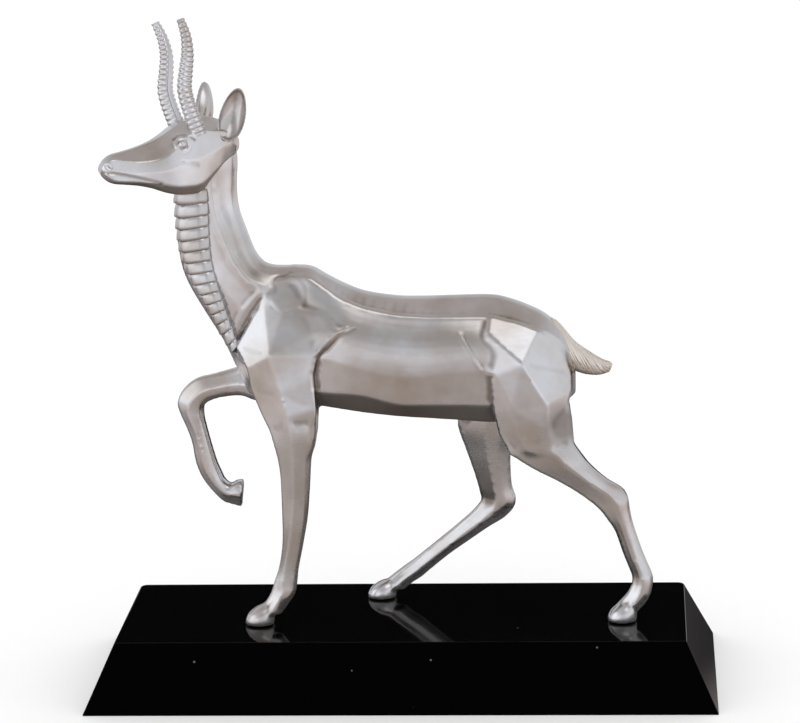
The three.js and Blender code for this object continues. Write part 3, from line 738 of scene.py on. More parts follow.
FAR_HIND = [
    (36, 120, 66, 120, 15, 9.4, 0.5), (32.3, 108.1, 66, 105, 17, 9.8, 0.5),
    (36.6, 92.1, 62.6, 91, 19, 8.2, 0.5), (41.1, 77.2, 62, 78, 20.4, 7, 0.5),
    (43.8, 66, 62.6, 68.4, 21.4, 6.4, 0.5), (44.4, 59.6, 64.6, 58.6, 22, 6.2, 0.5),
    (39.6, 53.4, 59, 50.6, 22.3, 5.7, 0.5), (33.2, 47.5, 46.8, 42.4, 22.6, 5, 0.5),
    (18.6, 35.1, 27.6, 28.8, 23.2, 4.6, 0.5), (5.4, 24.3, 15, 18.6, 23.8, 4.8, 0.5),
    (-2.6, 18.2, 8.4, 13, 24.2, 5.2, 0.5), (-8.6, 13.6, 2.4, 9, 24.4, 5.4, 0.5),
    (-15, 8.4, -2.6, 4.6, 24.4, 5.8, 0.5),
]
FAR_HIND_AFTER = [(0.72, 0.9), (1, 0.5)]
HOOVES = [((-82.4, -24), 17, 15, 11.6), ((126, -20.8), 17, 15, 11.4),
          ((-15.4, 24.4), 17, 14.6, 10.6)]
print("leg rows", [len(rows) for rows in (NEAR_FORE, FAR_FORE, NEAR_HIND, FAR_HIND)])

# %% [markdown]
# ## The body as one surface
# Torso, neck, legs and hooves are fused and polished all over. Then the joins that a maker would
# have dressed by hand are softened much more: each soft place is a point of the drawing and how
# far the softening reaches, full over the inner half and fading to nothing at its edge.

# %% Body
BODY_VOXEL = 1.05
BODY_ROUNDS = 8
SOFT_PLACES = [
    (-56, -26, 146, 14), (-74, -22, 143, 10), (-56, -26, 118, 16), (-46, -21, 173, 21),
    (-80, -15, 192, 12), (-49, -16, 190, 17), (-72, -15, 190, 11), (-56, -24, 113, 20),
    (-80, 15, 192, 12), (72, -24, 102, 13), (94, -20, 108, 17), (50, -22, 166, 13),
    (-50, -14, 198, 14), (-102, 14, 147, 14), (-88, -14, 148, 8),
]
SOFT_ROUNDS = 45

neck = facet_limb(NECK_ROWS, NECK_BEFORE, NECK_AFTER)
legs = [facet_limb(rows) for rows in (NEAR_FORE, FAR_FORE, NEAR_HIND)]
legs += [facet_limb(FAR_HIND, after=FAR_HIND_AFTER)] + [hoof(*sizes) for sizes in HOOVES]
body = fused(mesh_object("antelope_body", [*torso, neck, *legs]), BODY_VOXEL)
polished(body, BODY_ROUNDS)
soft = np.zeros(len(body.data.vertices))
for x, y, z, reach in SOFT_PLACES:
    near = np.linalg.norm(drawn(body.data) - (x, y, z), axis=1) / reach
    soft = np.maximum(soft, np.clip(2 - 2 * near, 0, 1))
polished(body, SOFT_ROUNDS, soft)
print("body", len(body.data.polygons), "faces")

# %% [markdown]
# ## Lines chased into the body
# After casting, the maker went over some lines with a chasing tool: the groove and ridges between
# neck and chest, the edge of the back, the round plate of the shoulder, folds at elbow and flank,
# the crease at the hip and the line down the thigh. Each is a broken line on the side of the
# animal, with a width and a depth, and a vertex moves in or out by how near it is. A fold is a
# groove beside a low ridge.

# %% Chased lines
NECK_GROOVE = [(-76, 190), (-82, 181), (-88.6, 170), (-92.2, 162), (-93.4, 154)]
ELBOW_FOLD = [(-22, 173.6), (-31, 169.8), (-42.6, 157.6), (-45, 148), (-44, 132)]
ELBOW_RIDGE = [(-27, 174), (-32.4, 171.6), (-44.4, 159.4)]
FLANK_FOLD = [(38.6, 168), (43.6, 160), (50.6, 148.6)]
FLANK_RIDGE = [(36.6, 169.6), (41.6, 160.6), (48.8, 149)]
HIP_CREASE = [(52.9, 187.5), (53.6, 179), (51.8, 170.4)]
THIGH_LINE = [(55.2, 146.1), (64.6, 126), (72, 110)]
BACK_EDGE = [(-26, 187.6), (-18, 184), (0, 180), (16, 178.6), (32, 178.4), (52, 178)]
NECK_RIDGE = [(-101, 250), (-100, 241), (-94.6, 225.5), (-91, 213), (-82, 200)]
CHEST_RIDGE = [(-76, 193.6), (-86, 182.6), (-90.8, 173)]
CHASED_LINES = [
    (NECK_GROOVE, 1.2, -0.5), (BACK_EDGE, 0.8, 0.25), (NECK_RIDGE, 3.2, 0.5), (CHEST_RIDGE, 1.8, 0.5),
    (ELBOW_FOLD, 0.8, -0.3), (ELBOW_RIDGE, 1, 0.4), (FLANK_FOLD, 1, -0.25), (FLANK_RIDGE, 1, 0.3),
    (HIP_CREASE, 0.9, -0.1), (THIGH_LINE, 0.9, -0.35),
]
PLATE_MIDDLE = (-60.4, 192.8)
PLATE_RADIUS = 11
PLATE_LIFT = 0.06
PLATE_RIM_DEPTH = 0.08
PLATE_RIM_WIDTH = 0.9


def distance_to_line(places, line):
    """How far points of the side view are from a broken line."""
    best = np.full(len(places), np.inf)
    for start, end in zip(line[:-1], line[1:]):
        start, end = np.array(start, float), np.array(end, float)
        run = end - start
        share = np.clip((places - start) @ run / (run @ run), 0, 1)
        best = np.minimum(best, np.linalg.norm(places - start - share[:, None] * run, axis=1))
    return best


def pushed(mesh, amount):
    """Moves each vertex out by its own amount in millimetres."""
    set_corners(mesh, corners_of(mesh) + normals_of(mesh) * (amount * MM)[:, None])


def line_heights(side_view, lines):
    """How far lines of a width and a depth move each point of the side view out."""
    return sum(depth * np.exp(-(distance_to_line(side_view, line) / width) ** 2)
               for line, width, depth in lines)


def chase_body(mesh):
    """Chases the lines and the plate into both sides of the body."""
    places = drawn(mesh)
    side_view = places[:, [0, 2]]
    from_rim = np.linalg.norm(side_view - PLATE_MIDDLE, axis=1) - PLATE_RADIUS
    rim = PLATE_RIM_DEPTH * np.exp(-(from_rim / PLATE_RIM_WIDTH) ** 2)
    amount = line_heights(side_view, CHASED_LINES) + (PLATE_LIFT * np.clip(-from_rim, 0, 1) - rim)
    pushed(mesh, amount * np.clip(np.abs(places[:, 1]) / 3 - 2, 0, 1))


chase_body(body.data)
print("chased lines", len(CHASED_LINES))

# %% [markdown]
# ## The head's own frame
# The head turns towards the camera by 28 degrees and leans by 9, so it is drawn straight in a
# frame of its own: forward along the muzzle, across to the far side, and up through the crown.

# %% Head frame
HEAD_PIVOT = np.array([-100, 0, 265.0])
HEAD_TURN = math.radians(28)
HEAD_TILT = math.radians(9)
FORWARD = np.array([-math.cos(HEAD_TURN), -math.sin(HEAD_TURN), 0])
LEVEL = np.array([-math.sin(HEAD_TURN), math.cos(HEAD_TURN), 0])
UPRIGHT = np.array([0, 0, 1.0])
ACROSS = LEVEL * math.cos(HEAD_TILT) - UPRIGHT * math.sin(HEAD_TILT)
CROWN = UPRIGHT * math.cos(HEAD_TILT) + LEVEL * math.sin(HEAD_TILT)
HEAD_AXES = np.array([FORWARD, ACROSS, CROWN])


def on_head(points):
    """Points of the head's frame, in the drawing."""
    return HEAD_PIVOT + np.asarray(points, float) @ HEAD_AXES


def head_places(mesh):
    """A mesh's vertices in the head's frame: along, across and up."""
    return (drawn(mesh) - HEAD_PIVOT) @ HEAD_AXES.T


print("head looks along", FORWARD.round(2))

# %% [markdown]
# ## The head
# Each row holds the place along the muzzle, the top, the brow ridge's height and half width, the
# jaw edge's height and half width, and the underside. Eyes, nostrils and mouth are cut into the
# fused surface afterwards: a vertex is pushed in or out by how near it is to a line drawn on the
# side of the head. The lids are two rings round the eye, each with its distance from the eyeball,
# its width and its depth.

# %% Head shell and its carving
HEAD_ROWS = [
    (68.6, 6, 4.6, 3.4, 2.8, 3.4, 1.8), (66.4, 9, 7, 5.4, 0, 5.6, -1.6),
    (62, 11.6, 8.6, 6.6, -3.4, 6.6, -4.8), (55, 12.8, 7, 7.6, -4.6, 7.2, -6.2),
    (47, 14.4, 5.6, 9, -5.6, 8.2, -7.6), (38, 17, 6, 11.4, -7.4, 10, -10.2),
    (30, 20.8, 9.4, 14, -9.6, 11.4, -13.4), (23, 24.8, 16.6, 15.4, -10.4, 12.6, -15),
    (14, 27.6, 20, 16.4, -9.6, 13.4, -14.8), (5, 28, 19, 16.8, -3, 13.6, -9),
    (-2, 25.6, 18, 16, 2, 12.6, -1.5), (-8, 21.6, 15, 13.6, 5, 11, 2),
    (-12, 16.6, 13, 9.6, 8, 8, 6),
]
HEAD_VOXEL = 0.6
EYE = (23.7, 13.3)
EYE_RADIUS = 2.2
MOUTH = [(69.5, 1.6), (63.1, 1), (56.3, -0.9), (48, -3.6), (41.5, -6), (36.4, -8)]
BROW = [(27, 16.6), (25, 18.4), (22.5, 18.9), (19.4, 17.6), (17, 15.4)]
CHEEK = [(24.2, 3.6), (20, 2.6), (15.8, 0.9)]
NOSTRIL = [(66.2, 5.6), (64.6, 4.4)]
CARVED_LINES = [(MOUTH, 0.7, -0.6), (BROW, 1.2, -0.4), (CHEEK, 1.3, -0.2), (NOSTRIL, 0.8, -0.7)]
EYE_LIFT = 0.9
LID_GROOVE = (0.4, 0.5, -0.5)
LID_RIM = (1.4, 0.7, 0.35)


def head_shell():
    """The head's shell, from the nose to behind the ears."""
    rings = []
    for s, top, z1, w1, z2, w2, bottom in smooth_rows(HEAD_ROWS, 5):
        swell = 0.06 * w1
        half = [(w1 * 0.4, top - 0.5), (w1, z1), ((w1 + w2) / 2 + swell, (z1 + z2) / 2), (w2, z2),
                (w2 * 0.45, bottom + 0.3)]
        far = [(s, w, z) for w, z in half]
        near = [(s, -w, z) for w, z in reversed(half)]
        rings.append(on_head([(s, 0, top), *far, (s, 0, bottom), *near]))
    return skin(rings)


def carve_head(mesh):
    """Cuts the features into both sides of the head."""
    places = head_places(mesh)
    side_view = places[:, [0, 2]]
    outside = np.clip(np.abs(places[:, 1]) / 3 - 0.6, 0, 1)
    from_eye = np.linalg.norm(side_view - EYE, axis=1)
    amount = line_heights(side_view, CARVED_LINES)
    amount += EYE_LIFT * np.clip(1 - (from_eye / EYE_RADIUS) ** 2, 0, 1)
    for away, width, depth in (LID_GROOVE, LID_RIM):
        amount += depth * np.exp(-((from_eye - EYE_RADIUS - away) / width) ** 2)
    pushed(mesh, amount * outside)


head = fused(mesh_object("antelope_head", [head_shell()]), HEAD_VOXEL)
polished(head, 5)
carve_head(head.data)
polished(head, 1)
print("head", len(head.data.polygons), "faces")

# %% [markdown]
# ## Throat scales
# Down the throat lie overlapping scales, each one thin where it starts under the last and thick
# at its free lower edge. A table gives the line of the throat, and a loop lays one closed shell
# after another along it.

# %% Throat scales
THROAT_LINE = [
    (-123.4, 252, -105.6, 253, 12.9), (-123.6, 238, -105.6, 240, 12.9),
    (-122.8, 224, -105.8, 227, 13.1), (-120.6, 210.6, -105.2, 213, 13.5),
    (-115.6, 196.6, -102.6, 199.6, 14.1), (-108.4, 183.6, -99.2, 187, 14.2),
    (-101.4, 170, -95.6, 174, 12.6), (-94.6, 157, -91.2, 161, 10.8),
]
SCALE_COUNT = 15
SCALE_LIP = 1.1
SCALE_SQUARENESS = 0.6
SCALE_SIDES = 30


def throat_scales():
    """One closed shell for each scale."""
    edges = smooth_rows(THROAT_LINE, 8)

    def ring(t, out):
        place = min(t, 1) * (len(edges) - 1)
        low = min(int(place), len(edges) - 2)
        fx, fz, bx, bz, half = edges[low] + (place - low) * (edges[low + 1] - edges[low])
        run = np.array([fx - bx, 0, fz - bz])
        length = np.linalg.norm(run)
        points = []
        for k in range(SCALE_SIDES + 1):
            angle = (k / SCALE_SIDES - 0.5) * math.pi
            if k in (0, SCALE_SIDES):
                reach = -1.5 / length
            else:
                reach = math.cos(angle) ** SCALE_SQUARENESS * (1 + out / length)
            width = math.copysign(abs(math.sin(angle)) ** SCALE_SQUARENESS, angle)
            points.append(np.array([bx, 0, bz]) + run * reach
                          + np.array([0, (half + out * 0.6) * width, 0]))
        return np.array(points)

    shells = []
    for i in range(SCALE_COUNT):
        start, end = (i / SCALE_COUNT) ** 0.92, ((i + 1) / SCALE_COUNT) ** 0.92
        run = end - start
        shells.append(skin([ring(start - 0.004, -0.8), ring(start + run * 0.4, SCALE_LIP * 0.42),
                            ring(start + run * 0.85, SCALE_LIP * 0.95), ring(end, SCALE_LIP),
                            ring(end + 0.004, SCALE_LIP * 0.55), ring(end + 0.006, -1)]))
    return shells


scales = mesh_object("throat_scales", throat_scales())
print("scales", SCALE_COUNT, "shells,", len(scales.data.polygons), "faces")

# %% [markdown]
# ## Horns with Geometry Nodes
# A horn is a tube along a curve with a raised ring every few millimetres, so it follows a rule
# and Geometry Nodes make it. The tree turns the path into a curve, sweeps a rounded square along
# it that thins to the tip, and then lifts the surface in rings, but not on a plain band that runs
# up one side, wide on the far horn and narrow on the near one. Its sizes are named inputs.

# %% Helpers for geometry trees
def new_tree(name, inputs):
    """A geometry tree with named inputs, its input node and its output node."""
    tree = bpy.data.node_groups.new(name, "GeometryNodeTree")
    tree.interface.new_socket("Geometry", in_out="INPUT", socket_type="NodeSocketGeometry")
    for label, kind, value in inputs:
        socket = tree.interface.new_socket(label, in_out="INPUT", socket_type=kind)
        if value is not None:
            socket.default_value = value
    tree.interface.new_socket("Geometry", in_out="OUTPUT", socket_type="NodeSocketGeometry")
    return tree, tree.nodes.new("NodeGroupInput"), tree.nodes.new("NodeGroupOutput")


def even_curve(tree, geometry, count):
    """Loose edges as a curve with this many evenly spaced points."""
    curve = add_node(tree, "GeometryNodeMeshToCurve", {"Mesh": geometry}).outputs["Curve"]
    given = {"Curve": curve, "Count": count}
    return add_node(tree, "GeometryNodeResampleCurve", given).outputs["Curve"]


def curve_share(tree):
    """How far along its curve a point is, from 0 to 1."""
    return add_node(tree, "GeometryNodeSplineParameter").outputs["Factor"]


def kept_share(tree, curve, name):
    """A curve that keeps each point's share under a name, and that share for later nodes."""
    keep = add_node(tree, "GeometryNodeCaptureAttribute", domain="POINT")
    keep.capture_items.new("FLOAT", name)
    tree.links.new(curve, keep.inputs["Geometry"])
    tree.links.new(curve_share(tree), keep.inputs[name])
    return keep.outputs["Geometry"], keep.outputs[name]


def swept_tube(tree, curve, profile, scale):
    """A closed tube along a curve."""
    given = {"Curve": curve, "Profile Curve": profile, "Scale": scale, "Fill Caps": True}
    return add_node(tree, "GeometryNodeCurveToMesh", given).outputs["Mesh"]


def end_tree(tree, geometry, material, out):
    """Makes the geometry real, gives it its material and hands it out."""
    real = add_node(tree, "GeometryNodeRealizeInstances", {"Geometry": geometry})
    given = {"Geometry": real.outputs["Geometry"], "Material": material}
    dressed = add_node(tree, "GeometryNodeSetMaterial", given)
    tree.links.new(dressed.outputs["Geometry"], out.inputs["Geometry"])


def run_tree(thing, tree, values):
    """Runs a tree on an object with these input values and keeps the plain mesh."""
    modifier = thing.modifiers.new(tree.name, "NODES")
    modifier.node_group = tree
    for item in tree.interface.items_tree:
        if item.in_out == "INPUT" and item.name in values:
            modifier[item.identifier] = values[item.name]
    return plain_mesh(thing)


def path_object(name, paths):
    """One object whose loose edges run along these paths of drawing points."""
    points, edges = [], []
    for path in paths:
        edges += [(len(points) + i, len(points) + i + 1) for i in range(len(path) - 1)]
        points += placed(path).tolist()
    return add_mesh(name, points, edges, [])


print("tree helpers ready")

# %% The horn tree
HORN_LINE = [(12.6, 12.4, 18), (16.6, 13.4, 30), (19.2, 14, 43), (17.7, 14.3, 53), (16, 15.4, 63),
             (16.6, 17.4, 73), (19.4, 19.2, 82)]
HORN_HALF_WIDTH = 4.6
HORN_TAPER = 0.5
TAPER_POWER = 2.6
HORN_RINGS = 23
RING_HEIGHT = 0.5
RING_STEPS = 10
BAND_FADE = 0.05
SECTION_WIDTH = 2.0
SECTION_DEPTH = 1.84
SECTION_ROUND = 0.62
SECTION_POINTS = 32
HORNS = [("near_horn", -1, 0, 0.4, 0.0), ("far_horn", 1, 1.6, 0.6, 0.08)]


def horn_section(tree):
    """A rounded rectangle about two across, which the horn's half width scales."""
    given = {"Width": SECTION_WIDTH, "Height": SECTION_DEPTH}
    section = add_node(tree, "GeometryNodeCurvePrimitiveQuadrilateral", given).outputs["Curve"]
    given = {"Curve": section, "Radius": SECTION_ROUND, "Count": 4}
    rounded = add_node(tree, "GeometryNodeFilletCurve", given, mode="POLY").outputs["Curve"]
    given = {"Curve": rounded, "Count": SECTION_POINTS}
    return add_node(tree, "GeometryNodeResampleCurve", given).outputs["Curve"]


def horn_tree():
    """A tube along a path that thins to its tip and carries raised rings."""
    tree, into, out = new_tree("horn", [
        ("Base half width", "NodeSocketFloat", HORN_HALF_WIDTH * MM),
        ("Taper", "NodeSocketFloat", HORN_TAPER), ("Rings", "NodeSocketInt", HORN_RINGS),
        ("Ring height", "NodeSocketFloat", RING_HEIGHT * MM),
        ("Band place", "NodeSocketFloat", 0.5), ("Band half width", "NodeSocketFloat", 0.06),
        ("Material", "NodeSocketMaterial", None)])
    size = into.outputs
    steps = math_node(tree, "MULTIPLY", size["Rings"], RING_STEPS)
    curve, along = kept_share(tree, even_curve(tree, size["Geometry"], steps), "along")
    section, around = kept_share(tree, horn_section(tree), "round")
    thin = math_node(tree, "POWER", curve_share(tree), TAPER_POWER)
    thin = math_node(tree, "MULTIPLY", thin, size["Taper"])
    left = math_node(tree, "SUBTRACT", 1.0, thin)
    width = math_node(tree, "MULTIPLY", left, size["Base half width"])
    tube = swept_tube(tree, curve, section, width)
    turns = math_node(tree, "MULTIPLY", along, size["Rings"])
    wave = math_node(tree, "COSINE", math_node(tree, "MULTIPLY", turns, 2 * math.pi))
    lifted = math_node(tree, "MULTIPLY", wave, 0.5)
    turned = math_node(tree, "SUBTRACT", around, size["Band place"])
    wrapped = math_node(tree, "FRACT", math_node(tree, "ADD", turned, 1.5))
    from_band = math_node(tree, "ABSOLUTE", math_node(tree, "SUBTRACT", wrapped, 0.5))
    band_end = math_node(tree, "ADD", size["Band half width"], BAND_FADE)
    ringed = ranged(tree, from_band, size["Band half width"], band_end)
    height = math_node(tree, "MULTIPLY", math_node(tree, "MULTIPLY", lifted, ringed),
                       size["Ring height"])
    outwards = add_node(tree, "GeometryNodeInputNormal").outputs["Normal"]
    offset = vector_node(tree, "SCALE", {0: outwards, "Scale": height}).outputs["Vector"]
    given = {"Geometry": tube, "Offset": offset}
    shaped = add_node(tree, "GeometryNodeSetPosition", given).outputs["Geometry"]
    end_tree(tree, shaped, size["Material"], out)
    return tree


horn_rule = horn_tree()
print("horn tree nodes", len(horn_rule.nodes))

# %% [markdown]
# ## Silvered bronze
# The casting is bronze under a worn silver skin. Its colour runs from cool silver to a warm tan
# where dirt and bronze come through. Three attributes that are worked out from the mesh further
# down steer the rest: relief darkens grooves, a second one paints shade and patina dark brown where
# the surface faces down and round a few places on the legs and thigh, and hair gilds the tail.
# Fine grain and long polishing strokes roughen the surface, and the low legs are pitted.

# %% Silvered bronze material
SILVER = (0.76, 0.76, 0.77, 1)
WARM_SILVER = (0.60, 0.555, 0.515, 1)
HAIR_GOLD = (0.92, 0.86, 0.78, 1)
# Dark brown of painted shade and patina, for faces that turn down and a few places on the legs.
SHADE_AND_PATINA_BROWN = (0.13, 0.095, 0.075, 1)
GROOVE_BROWN = (0.16, 0.125, 0.10, 1)
CLOUD_SCALE = 28
GRAIN_SCALE = 900
STROKE_SCALES = (60, 400, 700)
PIT_SCALE = 330
PITS_BEGIN = 0.13
PITS_FULL = 0.07
PIT_STRENGTH = 1.6
POLISH = (0.15, 0.26)
BUMP_STRENGTH = 0.25
BUMP_DEPTH = 0.08


def silvered_bronze():
    """The metal of the figure, from Object coordinates and three attributes."""
    material, tree = new_material("silvered_bronze")
    place = object_place(tree)
    relief, shade_and_patina, hair = [add_node(tree, "ShaderNodeAttribute", attribute_name=name).outputs["Fac"]
                           for name in ("relief", "shade_and_patina", "hair")]
    warmth = ranged(tree, noise(tree, place, CLOUD_SCALE, 5), 0.42, 0.68)
    colour = blended(tree, warmth, SILVER, WARM_SILVER)
    colour = blended(tree, hair, colour, HAIR_GOLD)
    # Painted shade and patina: dark brown where the surface faces down and round a few places.
    colour = blended(tree, shade_and_patina, colour, SHADE_AND_PATINA_BROWN)
    colour = blended(tree, ranged(tree, relief, 0.08, 1, 0, 0.75), colour, GROOVE_BROWN)
    stretched = add_node(tree, "ShaderNodeMapping", {"Vector": place, "Scale": STROKE_SCALES})
    strokes = noise(tree, stretched.outputs["Vector"], 1, 2)
    polish = ranged(tree, strokes, 0, 1, *POLISH)
    grain = noise(tree, place, GRAIN_SCALE, 3)
    bumps = math_node(tree, "MULTIPLY_ADD", grain, 0.6, math_node(tree, "MULTIPLY", strokes, 0.4))
    height = add_node(tree, "ShaderNodeSeparateXYZ", {0: place}).outputs["Z"]
    low_down = ranged(tree, height, PITS_BEGIN, PITS_FULL, 0, PIT_STRENGTH)
    bumps = math_node(tree, "MULTIPLY_ADD", noise(tree, place, PIT_SCALE, 2), low_down, bumps)
    bump = add_node(tree, "ShaderNodeBump", {
        "Strength": BUMP_STRENGTH, "Distance": BUMP_DEPTH * MM, "Height": bumps})
    show(tree, add_node(tree, "ShaderNodeBsdfPrincipled", {
        "Base Color": colour,
        # Where shade and patina are painted, the metal is also less metallic and rougher.
        "Metallic": math_node(tree, "MULTIPLY_ADD", shade_and_patina, -0.55, 1.0),
        "Roughness": math_node(tree, "MULTIPLY_ADD", shade_and_patina, 0.25, polish),
        "Normal": bump.outputs["Normal"]}))
    return material


bronze = silvered_bronze()
print("material", bronze.name, "nodes", len(bronze.node_tree.nodes))

# %% [markdown]
# ## Ears
# An ear is a leaf-shaped bowl with a rounded rim. Both walls of the bowl come from one rule: how
# far a point is from the middle of the leaf sets how deep it lies, and the two walls meet in the
# rim. The near ear opens to the side, and the far one shows its back.

# %% Ear shells
EAR_SEGMENTS = 40
EAR_BANDS = 9
EAR_BOWL = 4.5
EAR_WALL = 1.5
EAR_VOXEL = 0.45


def ear_shell(middle, tip, half_width, opening):
    """A bowl from its middle, its tip, its half width and which way it opens, in the head's frame."""
    middle, length_axis = np.array(middle, float), np.array(tip, float) - middle
    half_length = np.linalg.norm(length_axis)
    upward = length_axis / half_length
    opening = np.array(opening, float)
    opening = opening - upward * (opening @ upward)
    opening /= np.linalg.norm(opening)
    side = np.cross(upward, opening)

    def ring(share, depth):
        angles = 2 * math.pi * np.arange(EAR_SEGMENTS) / EAR_SEGMENTS
        along, over = np.sin(angles), np.cos(angles)
        egg = 1 - 0.16 * along
        return (middle + np.outer(along * share * half_length, upward)
                + np.outer(over * egg * share * half_width, side) - depth * opening)

    rings = []
    for band in range(EAR_BANDS):
        share = 0.04 + 0.84 * band / (EAR_BANDS - 1)
        rings.append(ring(share, EAR_BOWL * (1 - share ** 2)))
    rings += [ring(0.93, EAR_BOWL * 0.12 - EAR_WALL * 0.3), ring(0.98, -EAR_WALL * 0.35),
              ring(1.0, EAR_WALL * 0.2)]
    for band in range(EAR_BANDS):
        share = 1.0 - 0.96 * (band + 0.6) / EAR_BANDS
        rings.append(ring(share, EAR_BOWL * (1 - share ** 2) + EAR_WALL))
    points, faces = skin(rings)
    return on_head(points), faces


ear_shells = [
    ear_shell((-6, -19, 27), (-10.8, -20.5, 41.6), 7.4, (0.35, -1, 0.1)),
    ear_shell((-2.6, 19, 32), (-5.4, 20.5, 46.6), 6.6, (0.45, 0.9, 0.1)),
]
ears = fused(mesh_object("ears", ear_shells), EAR_VOXEL)
polished(ears, 2)
print("ears", len(ears.data.polygons), "faces")

# %% [markdown]
# ## The tail and its hair
# The tail is a short flame of hair that sweeps back and up to a point. A smooth core carries the
# shape, and Geometry Nodes lay strands of hair over it: each strand is a path from the upper edge
# down and back to the lower edge, and the tree turns it into a tube that thins at both ends.

# %% Tail core and strands
TAIL_ROWS = [
    (84, 175, 92, 152, 0, 5), (91.2, 171.6, 99, 144, 0, 6), (100.4, 160, 104.5, 141.4, 0, 5.4),
    (109.7, 153.1, 109, 140.4, 0, 4.4), (116.9, 148.5, 115, 140.2, 0, 3.2),
    (122.4, 146.6, 120.5, 142, 0, 1.6),
]
TAIL_STEPS = 24
TAIL_VOXEL = 0.7
STRANDS_A_SIDE = 36
STRAND_POINTS = 14
STRAND_HALF_WIDTH = 0.8
STRAND_LIFT = 0.25
STRAND_SEED = 7


def tail_place(along, around, side):
    """A point just over the tail, from root 0 to tip 1 and from upper edge 0 to lower edge 1."""
    rows = smooth_rows(TAIL_ROWS, TAIL_STEPS)
    row = rows[min(int(along * (len(rows) - 1)), len(rows) - 1)]
    front_x, front_z, back_x, back_z, across, half = row
    angle = math.pi * around
    middle = np.array([(front_x + back_x) / 2, across, (front_z + back_z) / 2])
    depth = np.array([(front_x - back_x) / 2, 0, (front_z - back_z) / 2])
    out = np.array([0, side * (half + STRAND_LIFT) * math.sin(angle), 0])
    return middle + depth * math.cos(angle) * 1.01 + out


def strand_paths():
    """Paths of the strands on both sides of the tail."""
    chance = np.random.default_rng(STRAND_SEED)
    paths = []
    for side in (-1, 1):
        for i in range(STRANDS_A_SIDE):
            start = -0.3 + 1.2 * (i + chance.uniform(-0.3, 0.3)) / STRANDS_A_SIDE
            run = 0.42 + chance.uniform(-0.05, 0.08)
            points = []
            for share in np.arange(STRAND_POINTS) / (STRAND_POINTS - 1):
                along = start + run * share ** 0.8
                if 0 <= along <= 0.985:
                    points.append(tail_place(along, 0.04 + 0.92 * share, side))
            if len(points) > 3:
                paths.append(points)
    return paths


def strand_tree():
    """Tubes along paths, thin at both ends."""
    tree, into, out = new_tree("strands", [
        ("Half width", "NodeSocketFloat", STRAND_HALF_WIDTH * MM),
        ("Points", "NodeSocketInt", STRAND_POINTS), ("Material", "NodeSocketMaterial", None)])
    curve = even_curve(tree, into.outputs["Geometry"], into.outputs["Points"])
    arch = math_node(tree, "SINE", math_node(tree, "MULTIPLY", curve_share(tree), math.pi))
    full = math_node(tree, "MULTIPLY_ADD", arch, 0.8, 0.2)
    width = math_node(tree, "MULTIPLY", full, into.outputs["Half width"])
    given = {"Resolution": 8, "Radius": 1}
    section = add_node(tree, "GeometryNodeCurvePrimitiveCircle", given).outputs["Curve"]
    end_tree(tree, swept_tube(tree, curve, section, width), into.outputs["Material"], out)
    return tree


tail = fused(mesh_object("tail", [round_limb(TAIL_ROWS)]), TAIL_VOXEL)
polished(tail, 3)
strands = run_tree(path_object("tail_hair", strand_paths()), strand_tree(), {"Material": bronze})
print("tail hair", len(strands.data.polygons), "faces")

# %% Horns
horns = []
for name, side, ahead, band, width in HORNS:
    path = on_head([(s + ahead, side * t, h) for s, t, h in smooth_rows(HORN_LINE, 6)])
    horns.append(run_tree(path_object(name, [path]), horn_rule, {
        "Material": bronze, "Band place": band, "Band half width": width}))
print("horns", [len(horn.data.polygons) for horn in horns], "faces")

# %% [markdown]
# ## Relief and smooth shading
# A vertex lies in a groove where the mean of its neighbours lies above it. That height, taken over
# a few rounds of neighbours and measured against a full depth, is the relief attribute. A second
# attribute is painted shade and patina: it is high where the surface faces down, and round a few
# places on the legs and thigh that are painted darker: a point of the drawing, how far it reaches
# and how strong it is. The hair attribute marks the tail and its strands.

# %% Attributes of the metal
RELIEF_FULL = 0.12
RELIEF_ROUNDS = 6
# Places on the legs and thigh painted darker with shade and patina: point, reach and strength.
SHADE_AND_PATINA_PLACES = [(94, -20, 116, 17, 0.75), (92, -14, 100, 14, 0.5), (-60, -27, 92, 34, 0.34),
                 (52, 24, 96, 36, 0.3), (-64, -26, 45, 30, 0.3)]


def store(mesh, name, values):
    """Keeps one number for each vertex as an attribute."""
    attribute = mesh.attributes.new(name, "FLOAT", "POINT")
    attribute.data.foreach_set("value", values.astype(np.float32))


def weather(mesh):
    """Stores each vertex's groove depth and painted shade and patina, and shades the mesh smoothly."""
    edges, corners, count = edges_of(mesh), corners_of(mesh), len(mesh.vertices)
    smooth = corners
    for _ in range(RELIEF_ROUNDS):
        smooth = neighbour_mean(smooth, edges, count)
    height = np.einsum("ij,ij->i", smooth - corners, normals_of(mesh)) / MM / RELIEF_FULL
    relief = neighbour_mean(np.clip(height, -1, 1)[:, None], edges, count)[:, 0]
    # Painted shade and patina: more where the surface faces down, spread over neighbours.
    facing_down = np.clip(-1.6 * normals_of(mesh)[:, 2] - 0.35, 0, 1)[:, None]
    for _ in range(RELIEF_ROUNDS):
        facing_down = neighbour_mean(facing_down, edges, count)
    shade_and_patina = facing_down[:, 0]
    places = drawn(mesh)
    # Painted shade and patina round the listed places on the legs and thigh.
    for x, y, z, reach, strength in SHADE_AND_PATINA_PLACES:
        near = np.linalg.norm(places - (x, y, z), axis=1) / reach
        shade_and_patina = np.maximum(shade_and_patina, strength * np.clip(1.6 - 1.6 * near, 0, 1))
    store(mesh, "relief", relief)
    store(mesh, "shade_and_patina", shade_and_patina)
    mesh.shade_smooth()


for piece in (tail, strands):
    store(piece.data, "hair", np.ones(len(piece.data.vertices)))
figure_pieces = [body, head, scales, ears, tail, strands, *horns]
for piece in figure_pieces:
    if not piece.data.materials:
        piece.data.materials.append(bronze)
    weather(piece.data)
print("figure", sum(len(piece.data.polygons) for piece in figure_pieces), "faces")

